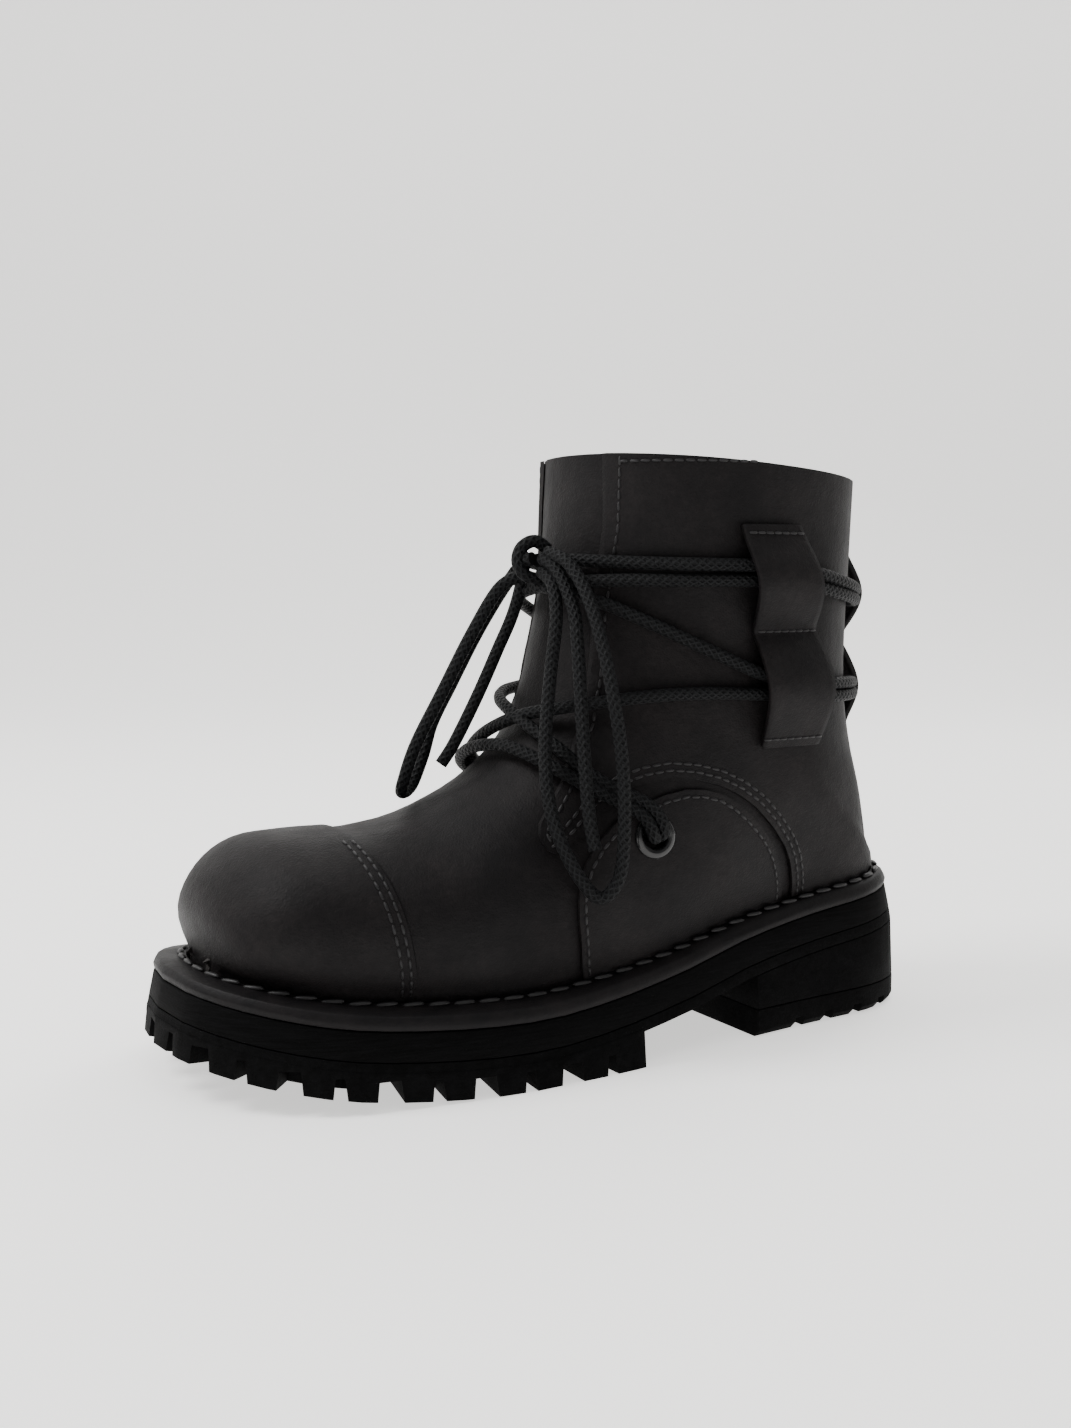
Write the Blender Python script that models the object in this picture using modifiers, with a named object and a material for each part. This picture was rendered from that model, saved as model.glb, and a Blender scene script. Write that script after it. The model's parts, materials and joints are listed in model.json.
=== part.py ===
# Utility ankle boot, left foot: lugged sole, stitched welt, hollow leather upper, wrapped lace.
# Metres, +X to the toe, +Y to the outer (lateral) side, +Z up, standing on the floor at Z = 0.
from math import atan2, cos, degrees, pi, radians, sin

import bmesh
import bpy
from mathutils import Matrix, Vector

# Driving dimensions
SOLE_LENGTH = 0.300
BALL_WIDTH = 0.119
HEEL_WIDTH = 0.0845
TOE_SWING = 0.025  # the toe's middle lies this far to the inner side
TOE_SPRING = 0.0152
HEEL_LIFT = 0.0263  # rise of the foot bed from ball to heel
BOOT_HEIGHT = 0.217
COLLAR_WIDTH = 0.096

# Sole layers, from the floor up
LUG_DEPTH = 0.0084
OUTSOLE_BODY = 0.0040
MIDSOLE_DEPTH = 0.0095
WELT_EDGE = 0.0048
WELT_CROWN = 0.0020  # the welt's top rises this much towards the upper
INSOLE_DEPTH = 0.0030
INSOLE_PLAY = 0.0030  # between the insole's edge and the upper's wall
FLARE = 0.0040  # the sole's foot is this much wider than the welt
TOP_LIFT_DEPTH = 0.0105
HEEL_BREAST = 0.0910  # from the back of the heel to its front face
WAIST_END = 0.1460  # where the forefoot's tread starts
GAP = 0.0003

# Welt width seen from above, at the toe and at the heel
WELT_AT_TOE = 0.0122
WELT_AT_HEEL = 0.0066

# Tread
LUG_PITCH = 0.0164  # along the edge of the sole
NARROW_SLOT = 0.0030
WIDE_SLOT = 0.0072
SLOT_FLARE = 0.0024  # a slot is this much wider at the floor
NARROW_REACH = 0.014  # from the sole's edge inwards
WIDE_REACH = 0.034
SLOT_HEIGHT = 0.0068
HEEL_SLOTS = (0.25, 0.42, 0.59, 0.76)  # shares of the heel's length, from the back
HEEL_SLOT_WIDTH = 0.0042
HEEL_SLOT_HEIGHT = 0.0042
HEEL_SLOT_REACH = 0.016

# Upper
WALL = 0.0024
HOLD = 0.0086  # height over which the welt grips the upper
LAYER = 0.0013  # thickness of a leather overlay
OVERLAY_GAP = 0.0005  # from the wall to an overlay
EASE = 0.35  # share of a section above the welt over which it swells to its widest, at least
BORE_GAP = 0.0013  # from the upper's wall to the welt
RIM_RISE = 0.0008  # the wall's lower edge stays this far off the midsole

# Loops, eyelets and lace
RING_CENTRE = 0.090  # from the heel's back to the line that turns are counted round
STRAP_WALL = 0.0022
STRAP_POINTS = 4
LOOP_LIFT = 0.0095  # room under a loop's bays
BACK_LOOP_WIDTH = 0.0265
BACK_LOOP_PLAY = 0.0006
EYELET_ALONG = 0.4577
EYELET_UP = 0.3710
EYELET_WIDTH = 0.0160
EYELET_HOLE = 0.0088
EYELET_BARREL = 0.0102
EYELET_SEAT = 0.0008  # from the wing's face to the ring
EYELET_SIDES = 14
LACE = 0.0047
LACE_PLAY = 0.0009
EYELET_CLEAR = 0.0025  # the lace lies this much further out over an eyelet

# Ends of the outline that close in an arc, and how square the arc is
HEEL_ROUND = 0.049
TOE_ROUND = 0.057
HEEL_POWER = 2.8
TOE_POWER = 2.1

STATIONS = 35  # along the sole, from heel to toe

# Half widths of the sole at the ground, as shares of half the heel and half the ball width
# along, outer of heel, outer of ball, inner of heel, inner of ball
OUTLINE = (
    (0.00, 1.00, 0.00, 1.00, 0.00),
    (0.16, 1.00, 0.00, 0.98, 0.00),
    (0.28, 0.96, 0.05, 0.90, 0.03),
    (0.42, 0.52, 0.43, 0.48, 0.34),
    (0.56, 0.10, 0.86, 0.10, 0.80),
    (0.68, 0.00, 1.00, 0.00, 1.00),
    (0.80, 0.00, 0.99, 0.00, 1.02),
    (1.00, 0.00, 0.96, 0.00, 1.00),
)

# Sideways place of the middle line, as a share of TOE_SWING
# along, share
SWING = (
    (0.38, 0.00),
    (0.48, 0.10),
    (0.60, 0.34),
    (0.72, 0.56),
    (0.84, 0.80),
    (0.93, 0.95),
    (0.97, 0.97),
)

# Rise of the foot bed, as a share of HEEL_LIFT
# along, share
BED_RISE = (
    (0.00, 1.00),
    (0.10, 0.88),
    (0.20, 0.76),
    (0.31, 0.57),
    (0.42, 0.29),
    (0.50, 0.14),
    (0.62, 0.00),
)

# Sections of the upper, each a straight line in side view from its base on the welt or up the
# back to its top on the ridge, the shaft's front or the collar.
# along: base, from the heel's back (0) to the toe's tip (1); lean and rise: base further up the
# back, of the sole length and of the shaft's height; back and up: top, behind the toe's tip and
# above its seat; ball and collar: widest half width, of half the ball and half the collar width;
# widest: where along the line; power: roundness of the section
# along, lean, rise, back, up, ball, collar, widest, power
SECTIONS = (
    (0.9965, 0.0000, 0.0000, 0.0040, 0.0440, 0.030, 0.000, 0.50, 1.9),
    (0.9843, 0.0000, 0.0000, 0.0000, 0.0780, 0.230, 0.000, 0.50, 1.9),
    (0.9605, 0.0000, 0.0000, -0.0020, 0.1500, 0.510, 0.000, 0.36, 2.0),
    (0.9275, 0.0000, 0.0000, 0.0225, 0.2180, 0.670, 0.000, 0.31, 2.1),
    (0.8836, 0.0000, 0.0000, 0.0620, 0.2600, 0.750, 0.000, 0.30, 2.2),
    (0.8287, 0.0000, 0.0000, 0.1170, 0.2700, 0.775, 0.000, 0.28, 2.2),
    (0.7518, 0.0000, 0.0000, 0.1950, 0.2740, 0.790, 0.000, 0.27, 2.2),
    (0.6713, 0.0000, 0.0000, 0.2693, 0.3024, 0.790, 0.000, 0.25, 2.2),
    (0.5871, 0.0000, 0.0000, 0.3327, 0.3594, 0.740, 0.020, 0.25, 2.1),
    (0.4993, 0.0000, 0.0000, 0.3760, 0.4245, 0.550, 0.190, 0.27, 2.1),
    (0.4004, 0.0000, 0.0000, 0.4010, 0.4951, 0.350, 0.430, 0.33, 2.1),
    (0.2943, 0.0000, 0.0000, 0.4143, 0.5684, 0.180, 0.640, 0.38, 2.1),
    (0.1918, 0.0000, 0.0000, 0.4227, 0.6363, 0.080, 0.765, 0.43, 2.2),
    (0.0966, 0.0000, 0.0000, 0.4293, 0.6960, 0.020, 0.840, 0.46, 2.2),
    (0.0289, 0.0000, 0.0000, 0.4333, 0.7394, 0.000, 0.875, 0.48, 2.2),
    (0.0000, 0.0000, 0.0000, 0.4353, 0.7611, 0.000, 0.881, 0.49, 2.2),
    (0.0000, 0.0033, 0.0699, 0.4373, 0.7855, 0.000, 0.887, 0.50, 2.2),
    (0.0000, 0.0163, 0.1706, 0.4393, 0.8127, 0.000, 0.896, 0.50, 2.2),
    (0.0000, 0.0380, 0.2950, 0.4417, 0.8426, 0.000, 0.906, 0.50, 2.2),
    (0.0000, 0.0547, 0.4254, 0.4440, 0.8751, 0.000, 0.923, 0.50, 2.2),
    (0.0000, 0.0580, 0.5853, 0.4463, 0.9131, 0.000, 0.948, 0.50, 2.2),
    (0.0000, 0.0560, 0.7571, 0.4490, 0.9539, 0.000, 0.979, 0.50, 2.2),
    (0.0000, 0.0525, 0.9467, 0.4510, 1.0000, 0.000, 1.000, 0.50, 2.2),
)
HEEL_SECTION = 15  # the first section whose base is a single point, at the heel's back
HALF_POINTS = 9  # steps on each side of a section, from its base to its top
CAP_EDGE = 5.64  # section number of the toe cap's back edge
CAP_STEP = 0.04  # section numbers over which the cap's edge drops to the vamp
SECTION_STEPS = 160  # finer steps from which the even ones are read


# Edges of the overlays in side view, as shares of SOLE_LENGTH and BOOT_HEIGHT
# Edge of the wing, from the welt in front over the eyelet to the welt at the heel
# along, up
WING_EDGE = (
    (0.5477, 0.1272),
    (0.5573, 0.2120),
    (0.5607, 0.2765),
    (0.5467, 0.3364),
    (0.5067, 0.3963),
    (0.4683, 0.4258),
    (0.4133, 0.4452),
    (0.3607, 0.4318),
    (0.3167, 0.3908),
    (0.2790, 0.3378),
    (0.2567, 0.2857),
    (0.2373, 0.2221),
)

# Edge of the quarter, from the collar down the front, round its tab and over the wing
# along, up
QUARTER_EDGE = (
    (0.4833, 1.0829),
    (0.4847, 0.8756),
    (0.5000, 0.6912),
    (0.5193, 0.5613),
    (0.5553, 0.4604),
    (0.5907, 0.4000),
    (0.5940, 0.3710),
    (0.5823, 0.3548),
    (0.5533, 0.3770),
    (0.5263, 0.4129),
    (0.4890, 0.4479),
    (0.4333, 0.4664),
    (0.3680, 0.4493),
    (0.3083, 0.4037),
    (0.2550, 0.3272),
    (0.2333, 0.2710),
    (0.2200, 0.2263),
)

# Side loops: height, front and rear edge, and lift as a share of LOOP_LIFT
# up, front, rear, lift
SIDE_LOOP = (
    (0.8802, 0.3510, 0.2673, 0.00),
    (0.8479, 0.3473, 0.2617, 0.35),
    (0.7926, 0.3400, 0.2517, 0.98),
    (0.7327, 0.3310, 0.2387, 0.35),
    (0.7051, 0.3267, 0.2310, 0.00),
    (0.6774, 0.3233, 0.2277, 0.35),
    (0.6083, 0.3167, 0.2233, 0.98),
    (0.5392, 0.3110, 0.2200, 0.35),
    (0.5115, 0.3077, 0.2170, 0.00),
)

# Back loop: height, half width as a share of its width, and lift as a share of LOOP_LIFT
# up, half, lift
BACK_LOOP = (
    (0.8525, 0.5, 0.00),
    (0.8203, 0.5, 0.45),
    (0.7650, 0.5, 1.10),
    (0.7097, 0.5, 0.35),
    (0.6820, 0.5, 0.00),
    (0.6544, 0.5, 0.35),
    (0.5899, 0.5, 1.00),
    (0.5346, 0.5, 0.35),
    (0.5069, 0.5, 0.00),
)

# Route of one end of the lace from its eyelet to the knot, as turns in degrees from the front,
# heights as shares of BOOT_HEIGHT and lifts as shares of EYELET_CLEAR; the other end mirrors it
# turn, up, lift
LACE_ROUTE = (
    (41.0, 0.3779, 1.0),
    (37.0, 0.4194, 0.8),
    (30.0, 0.4424, 0.1),
    (24.0, 0.4631, 0.0),
    (12.5, 0.5138, 0.0),
    (0.0, 0.5502, 0.4),
    (-12.0, 0.5724, 0.3),
    (-30.0, 0.5945, 0.0),
    (-60.0, 0.6037, 0.0),
    (-88.0, 0.6000, 0.0),
    (-121.0, 0.5899, 0.0),
    (-150.0, 0.5853, 0.0),
    (-180.0, 0.5945, 0.0),
    (-210.0, 0.6060, 0.0),
    (-240.0, 0.6129, 0.0),
    (-258.0, 0.6221, 0.0),
    (-277.0, 0.6359, 0.0),
    (-304.0, 0.6797, 0.0),
    (-325.0, 0.7217, 0.0),
    (-342.0, 0.7535, 0.7),
    (-360.0, 0.7756, 0.7),
    (-382.0, 0.7899, 0.7),
    (-410.0, 0.7926, 0.0),
    (-453.0, 0.7899, 0.0),
    (-473.0, 0.7811, 0.0),
    (-495.0, 0.7650, 0.0),
    (-520.0, 0.7535, 0.0),
    (-540.0, 0.7594, 0.0),
    (-562.0, 0.7696, 0.0),
    (-588.0, 0.7880, 0.0),
    (-607.0, 0.8041, 0.0),
    (-627.0, 0.8147, 0.0),
    (-670.0, 0.8184, 0.0),
    (-714.0, 0.8221, 0.0),
)

# Bar of the lace between the two eyelets
# turn, up, lift
LACE_BAR = (
    (37.5, 0.3687, 1.0),
    (35.5, 0.4032, 0.8),
    (30.0, 0.4263, 0.1),
    (22.8, 0.4498, 0.0),
    (13.8, 0.4783, 0.0),
    (3.8, 0.4977, 0.0),
    (-3.8, 0.4986, 0.0),
    (-13.8, 0.4820, 0.0),
    (-22.8, 0.4516, 0.0),
    (-30.0, 0.4263, 0.1),
    (-35.5, 0.4032, 0.8),
    (-37.5, 0.3687, 1.0),
)

# Bow, as shares of SOLE_LENGTH, BALL_WIDTH and BOOT_HEIGHT
# Loop that hangs on the outer side, from the knot and back to it
# along, across, up
BOW_LOOP_OUTER = (
    (0.5450, 0.0504, 0.8041),
    (0.5483, 0.1261, 0.7834),
    (0.5533, 0.1681, 0.7281),
    (0.5633, 0.1765, 0.6406),
    (0.5833, 0.2269, 0.5207),
    (0.5917, 0.2941, 0.4240),
    (0.5767, 0.3487, 0.3410),
    (0.5483, 0.3824, 0.2880),
    (0.5267, 0.4076, 0.3226),
    (0.5217, 0.4118, 0.4147),
    (0.5200, 0.3908, 0.5115),
    (0.5267, 0.3739, 0.5991),
    (0.5283, 0.3235, 0.6820),
    (0.5317, 0.2521, 0.7650),
    (0.5367, 0.1681, 0.8180),
    (0.5417, 0.0714, 0.8364),
)

# End that hangs on the outer side
# along, across, up
BOW_END_OUTER = (
    (0.5410, 0.2143, 0.7419),
    (0.5433, 0.2437, 0.6912),
    (0.5457, 0.2647, 0.6406),
    (0.5510, 0.3109, 0.5161),
    (0.5543, 0.3487, 0.4240),
    (0.5517, 0.3739, 0.3641),
)

# Loop that hangs over the vamp
# along, across, up
BOW_LOOP_INNER = (
    (0.5550, -0.0420, 0.7972),
    (0.5767, -0.0756, 0.7742),
    (0.6100, -0.1008, 0.6959),
    (0.6433, -0.1176, 0.6083),
    (0.6767, -0.1429, 0.5161),
    (0.6883, -0.1681, 0.4562),
    (0.6833, -0.2101, 0.4309),
    (0.6617, -0.2521, 0.4378),
    (0.6433, -0.2605, 0.4885),
    (0.6300, -0.2605, 0.5438),
    (0.6033, -0.2605, 0.6083),
    (0.5700, -0.2521, 0.6912),
    (0.5500, -0.1933, 0.7604),
    (0.5433, -0.1092, 0.8065),
)

# End that hangs over the vamp
# along, across, up
BOW_END_INNER = (
    (0.5450, -0.1261, 0.7281),
    (0.5633, -0.1345, 0.6728),
    (0.5833, -0.1429, 0.6129),
    (0.6033, -0.1513, 0.5576),
    (0.6233, -0.1597, 0.5069),
    (0.6367, -0.1723, 0.4770),
)

# Turn of lace round the knot
# along, across, up
BOW_KNOT = (
    (0.5467, -0.0546, 0.8318),
    (0.5533, -0.0252, 0.8263),
    (0.5560, 0.0084, 0.8240),
    (0.5533, 0.0336, 0.8263),
)


def row_at(rows, place):
    """The columns at a fractional row number, on a smooth curve through the rows."""
    last = len(rows) - 1
    place = min(max(place, 0.0), float(last))
    i = min(int(place), last - 1)
    t = place - i
    before, here, there, after = rows[max(i - 1, 0)], rows[i], rows[i + 1], rows[min(i + 2, last)]
    found = []
    for p0, p1, p2, p3 in zip(before, here, there, after):
        bend = 2 * p0 - 5 * p1 + 4 * p2 - p3
        twist = 3 * p1 - p0 - 3 * p2 + p3
        found.append(p1 + 0.5 * t * (p2 - p0 + t * (bend + t * twist)))
    return found


def slope_at(rows, k, c):
    """Slope of column c at row k, flat at the ends and where the column turns."""
    if k in (0, len(rows) - 1):
        return 0.0
    left = (rows[k][c] - rows[k - 1][c]) / (rows[k][0] - rows[k - 1][0])
    right = (rows[k + 1][c] - rows[k][c]) / (rows[k + 1][0] - rows[k][0])
    return 2 * left * right / (left + right) if left * right > 0 else 0.0


def along_table(rows, along):
    """The columns after the first, at a value of the first, on a curve that never overshoots."""
    if along <= rows[0][0]:
        return list(rows[0][1:])
    if along >= rows[-1][0]:
        return list(rows[-1][1:])
    i = max(k for k in range(len(rows) - 1) if rows[k][0] <= along)
    low, high = rows[i], rows[i + 1]
    width = high[0] - low[0]
    t = (along - low[0]) / width
    found = []
    for c in range(1, len(low)):
        m0 = slope_at(rows, i, c) * width
        m1 = slope_at(rows, i + 1, c) * width
        step = high[c] - low[c]
        bend = 3 * step - 2 * m0 - m1
        twist = m0 + m1 - 2 * step
        found.append(low[c] + t * (m0 + t * (bend + t * twist)))
    return found


def swing(x):
    """Sideways place of the sole's middle line."""
    return -TOE_SWING * along_table(SWING, x / SOLE_LENGTH)[0]


def spring(x):
    """Rise of the tread towards the toe."""
    over = min(max((x / SOLE_LENGTH - 0.62) / 0.38, 0.0), 1.0)
    return TOE_SPRING * over**2.2


def bed(x):
    """Rise of every sole layer above its height at the ball."""
    return spring(x) + HEEL_LIFT * along_table(BED_RISE, x / SOLE_LENGTH)[0]


MIDSOLE_BASE = LUG_DEPTH + OUTSOLE_BODY + GAP
WELT_BASE = MIDSOLE_BASE + MIDSOLE_DEPTH + GAP


def seat(x):
    """Height on which the welt, the insole and the upper's lower edge lie."""
    return bed(x) + WELT_BASE


def half_width(x, side):
    """Half width of the sole at the ground; side is 1 on the outer and -1 on the inner side."""
    outer_heel, outer_ball, inner_heel, inner_ball = along_table(OUTLINE, x / SOLE_LENGTH)
    heel, ball = (outer_heel, outer_ball) if side > 0 else (inner_heel, inner_ball)
    width = heel * HEEL_WIDTH / 2 + ball * BALL_WIDTH / 2
    if x < HEEL_ROUND:
        width *= (1 - (1 - x / HEEL_ROUND) ** HEEL_POWER) ** (1 / HEEL_POWER)
    over = (x - (SOLE_LENGTH - TOE_ROUND)) / TOE_ROUND
    if over > 0:
        width *= max(1 - over**TOE_POWER, 0.0) ** (1 / TOE_POWER)
    return width


def edge_line(side, inset, first, last):
    """Edge of one side in plan, from first to last in x, moved in by inset(x)."""
    xs = [SOLE_LENGTH * (0.5 - 0.5 * cos(pi * i / (STATIONS - 1))) for i in range(STATIONS)]
    xs = [first] + [x for x in xs if first + 0.0015 < x < last - 0.0015] + [last]
    if first == 0:
        xs[0] = 0.0
    line = []
    for x in xs:
        y = side * half_width(x, side)
        step = 0.0001
        if x <= step or x >= SOLE_LENGTH - step:
            inward = Vector((1.0 if x <= step else -1.0, 0.0))
            y = 0.0
        else:
            low, high = max(x - step, 0.0), min(x + step, SOLE_LENGTH)
            run = Vector((high - low, side * (half_width(high, side) - half_width(low, side))))
            run.y += swing(high) - swing(low)
            inward = Vector((run.y, -run.x)).normalized() * side
        line.append(Vector((x, swing(x) + y)) + inward * inset(x))
    return line


def loop(inset, first=0.0, last=SOLE_LENGTH):
    """Edge in plan as (outer side, inner side), each from heel to toe."""
    return edge_line(1, inset, first, last), edge_line(-1, inset, first, last)


def build(name, vertices, faces, material, closed=True):
    """Mesh object with its doubled points made one; a closed one has its faces turned outwards."""
    mesh = bpy.data.meshes.new(name)
    mesh.from_pydata(vertices, [], faces)
    work = bmesh.new()
    work.from_mesh(mesh)
    bmesh.ops.remove_doubles(work, verts=work.verts, dist=0.00001)
    if closed:
        bmesh.ops.recalc_face_normals(work, faces=work.faces)
    work.to_mesh(mesh)
    work.free()
    mesh.materials.append(material)
    piece = bpy.data.objects.new(name, mesh)
    parts.objects.link(piece)
    mesh.shade_smooth()
    mesh.set_sharp_from_angle(angle=0.6)
    return piece


def layer(name, levels, material, first=0.0, last=SOLE_LENGTH):
    """Solid of the sole's outline between levels, each (inset(x), height(x)), lowest first."""
    vertices, faces = [], []
    sides = []
    for inset, height in levels:
        outer, inner = loop(inset, first, last)
        places = []
        for line in (outer, inner):
            places.append([len(vertices) + i for i in range(len(line))])
            vertices.extend((p.x, p.y, height(p.x)) for p in line)
        sides.append(places)
    count = len(sides[0][0])
    for low, high in zip(sides, sides[1:]):
        for a, b in ((low[0], high[0]), (high[1], low[1])):
            faces.extend((a[i], a[i + 1], b[i + 1], b[i]) for i in range(count - 1))
        faces.append((low[1][0], low[0][0], high[0][0], high[1][0]))
        faces.append((low[0][-1], low[1][-1], high[1][-1], high[0][-1]))
    for outer, inner in (sides[0], sides[-1]):
        faces.extend((outer[i], outer[i + 1], inner[i + 1], inner[i]) for i in range(count - 1))
    return build(name, vertices, faces, material)


def thicken(piece, thickness, side):
    """Wall on an open surface: side 1 is outwards and -1 inwards."""
    wall = piece.modifiers.new("wall", "SOLIDIFY")
    wall.thickness = thickness
    wall.offset = side


def paint(name, colour, roughness, metallic=0.0):
    material = bpy.data.materials.new(name)
    material.use_nodes = True
    shader = material.node_tree.nodes["Principled BSDF"]
    shader.inputs["Base Color"].default_value = (*colour, 1.0)
    shader.inputs["Roughness"].default_value = roughness
    shader.inputs["Metallic"].default_value = metallic
    return material


def combine(target, tool, operation, crossing=False):
    """Boolean of a hidden tool on a part; crossing is for a part that may cross itself."""
    change = target.modifiers.new(operation.lower(), "BOOLEAN")
    change.operation = operation
    change.object = tool
    change.solver = "EXACT"
    change.use_self = crossing
    tool.hide_render = True
    tool.display_type = "WIRE"
    if tool.name in parts.objects:
        parts.objects.unlink(tool)
        cutters.objects.link(tool)


def welt_inset(x):
    """From the ground outline to the upper's foot."""
    share = min(max((x / SOLE_LENGTH - 0.12) / 0.66, 0.0), 1.0)
    width = WELT_AT_HEEL + (WELT_AT_TOE - WELT_AT_HEEL) * share * share * (3 - 2 * share)
    return FLARE + width


FOOT_LINES = {side: edge_line(side, welt_inset, 0.0, SOLE_LENGTH) for side in (1, -1)}
HEEL_POINT = FOOT_LINES[1][0].x
TOE_POINT = FOOT_LINES[1][-1].x


def foot_half(x, side):
    """Half width of the upper's foot at x."""
    line = FOOT_LINES[side]
    if x <= line[0].x or x >= line[-1].x:
        return 0.0
    i = max(k for k in range(len(line) - 1) if line[k].x <= x)
    share = (x - line[i].x) / (line[i + 1].x - line[i].x)
    y = line[i].y + share * (line[i + 1].y - line[i].y)
    return max(side * (y - swing(x)), 0.0)


def section(place):
    """Base, top, widest half width, its place and the power of a section, place 0 to the last."""
    along, lean, rise, back, up, ball, collar, widest, power = row_at(SECTIONS, place)
    if place > HEEL_SECTION - 1:
        along = SECTIONS[HEEL_SECTION - 1][0] * max(HEEL_SECTION - place, 0.0)
    x = HEEL_POINT + along * (TOE_POINT - HEEL_POINT)
    shaft = BOOT_HEIGHT - seat(HEEL_POINT)
    base = Vector((x + max(lean, 0.0) * SOLE_LENGTH, seat(x) + RIM_RISE + max(rise, 0.0) * shaft))
    top = Vector((TOE_POINT - back * SOLE_LENGTH, 0.0))
    top.y = seat(TOE_POINT) + up * (BOOT_HEIGHT - seat(TOE_POINT))
    return base, top, ball * BALL_WIDTH / 2 + collar * COLLAR_WIDTH / 2, widest, power


def grip(place, base, top):
    """Share of a section's line up to which the welt holds the upper."""
    if place >= HEEL_SECTION + 1:
        return 0.0
    low, high = 0.0, 1.0
    for _ in range(24):
        a = (low + high) / 2
        spot = base.lerp(top, a)
        if spot.y < seat(spot.x) + HOLD:
            low = a
        else:
            high = a
    return low


def width_at(place, a, side):
    """Half width of the upper at share a of a section's line."""
    base, top, wide, widest, power = section(place)
    held = grip(place, base, top)
    widest = max(widest, held + EASE * (1 - held))
    foot = foot_half(base.lerp(top, min(a, held)).x, side) if held else 0.0
    if a <= held:
        return 0.0 if a == 0 and place >= HEEL_SECTION else foot
    wide = max(wide, foot)
    if a >= widest:
        return wide * max(1 - ((a - widest) / (1 - widest)) ** power, 0.0) ** (1 / power)
    closed = 1 - (foot / wide) ** power
    return wide * (1 - closed * ((widest - a) / (widest - held)) ** power) ** (1 / power)


def half_section(place, side, steps):
    """Points of one side of a section, from its base to its top.

    The first step is the stretch that the welt holds, and the others are even along the curve.
    """
    base, top, *_ = section(place)
    held = grip(place, base, top)
    shares = [held * i / 4 for i in range(4)] if held else []
    shares += [held + (1 - held) * i / SECTION_STEPS for i in range(SECTION_STEPS + 1)]
    fine = []
    for a in shares:
        spot = base.lerp(top, a)
        width = width_at(place, a, side)
        fine.append(Vector((spot.x, swing(spot.x) + side * width, spot.y)))
    runs = [0.0]
    for p, q in zip(fine, fine[1:]):
        runs.append(runs[-1] + (q - p).length)
    first = min(runs[4] if held else HOLD, 0.3 * runs[-1])
    wanted = [0.0] + [first + (runs[-1] - first) * j / (steps - 1) for j in range(steps)]
    found = []
    k = 0
    for want in wanted:
        while k < len(runs) - 2 and runs[k + 1] < want:
            k += 1
        share = (want - runs[k]) / max(runs[k + 1] - runs[k], 1e-9)
        found.append(fine[k].lerp(fine[k + 1], min(share, 1.0)))
    return found


def section_places():
    """Section numbers of the upper's rows, closer together where the toe and the heel are round."""
    toe = [0.5 * i for i in range(11)] + [CAP_EDGE - CAP_STEP, CAP_EDGE]
    middle = [CAP_EDGE + (13.0 - CAP_EDGE) * i / 12 for i in range(1, 13)]
    heel = [HEEL_SECTION - gap for gap in (1.6, 1.2, 0.85, 0.55, 0.3, 0.1, 0.0)]
    back = [HEEL_SECTION + 0.5] + [float(k) for k in range(HEEL_SECTION + 1, len(SECTIONS))]
    return toe + middle + heel + back


def raised(p, place):
    """Point of the toe cap, which steps out of the wall above the welt."""
    base, top, *_ = section(place)
    heart = base.lerp(top, 0.4)
    out = (p - Vector((heart.x, swing(heart.x), heart.y))).normalized()
    share = min(max((p.z - seat(p.x) - HOLD) / HOLD, 0.0), 1.0)
    return p + out * LAYER * share


def upper_grid():
    """Vertices and faces of the upper's outer face, open at the collar and underneath."""
    tip = Vector((TOE_POINT, swing(TOE_POINT), seat(TOE_POINT) + RIM_RISE))
    rows = [[tip] * (2 * HALF_POINTS + 1)]
    for place in section_places():
        outer = half_section(place, 1, HALF_POINTS)
        inner = half_section(place, -1, HALF_POINTS)
        row = outer + inner[-2::-1]
        rows.append([raised(p, place) for p in row] if place < CAP_EDGE else row)
    width = len(rows[0])
    faces = []
    for r in range(len(rows) - 1):
        for c in range(width - 1):
            i = r * width + c
            far = i + width
            if c < HALF_POINTS:
                faces += [(i, far, far + 1), (i, far + 1, i + 1)]
            else:
                faces += [(i, far, i + 1), (far, far + 1, i + 1)]
    return [p for row in rows for p in row], faces


def make_upper():
    upper = build("upper", *upper_grid(), leather, closed=False)
    thicken(upper, WALL, -1.0)
    return upper


def curve(rows, steps):
    """Points on the smooth curve through the rows of a table."""
    count = steps * (len(rows) - 1)
    return [row_at(rows, i / steps) for i in range(count + 1)]


def edge_curve(rows):
    """Overlay edge in side view, from shares of the sole's length and the boot's height."""
    found = []
    for along, up in curve(rows, 2):
        x = along * SOLE_LENGTH
        found.append((x, max(up * BOOT_HEIGHT, clear_of_welt(x))))
    return found


def clear_of_welt(x):
    """Height just above the welt's inner edge."""
    return seat(x) + WELT_EDGE + WELT_CROWN + GAP


def welt_line(first, last, steps):
    """Places just above the welt's inner edge in side view."""
    xs = [first + (last - first) * i / steps for i in range(steps + 1)]
    return [(x, clear_of_welt(x)) for x in xs]


def prism(name, outline, low, high):
    """Cutter with an outline in side view, between two places across."""
    work = bmesh.new()
    near = [work.verts.new((x, low, z)) for x, z in outline]
    far = [work.verts.new((x, high, z)) for x, z in outline]
    work.faces.new(near)
    work.faces.new(far[::-1])
    for i in range(len(outline)):
        j = (i + 1) % len(outline)
        work.faces.new((near[i], far[i], far[j], near[j]))
    return cutter(name, work)


def overlay(name, outline, low, high):
    """Leather layer on the upper, cut from a larger shell of the upper's own form."""
    piece = build(name, *upper_grid(), leather, closed=False)
    lift = piece.modifiers.new("lift", "DISPLACE")
    lift.strength = OVERLAY_GAP
    lift.mid_level = 0.0
    thicken(piece, LAYER, 1.0)
    combine(piece, prism(name + "_outline", outline, low, high), "INTERSECT")
    return piece


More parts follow.
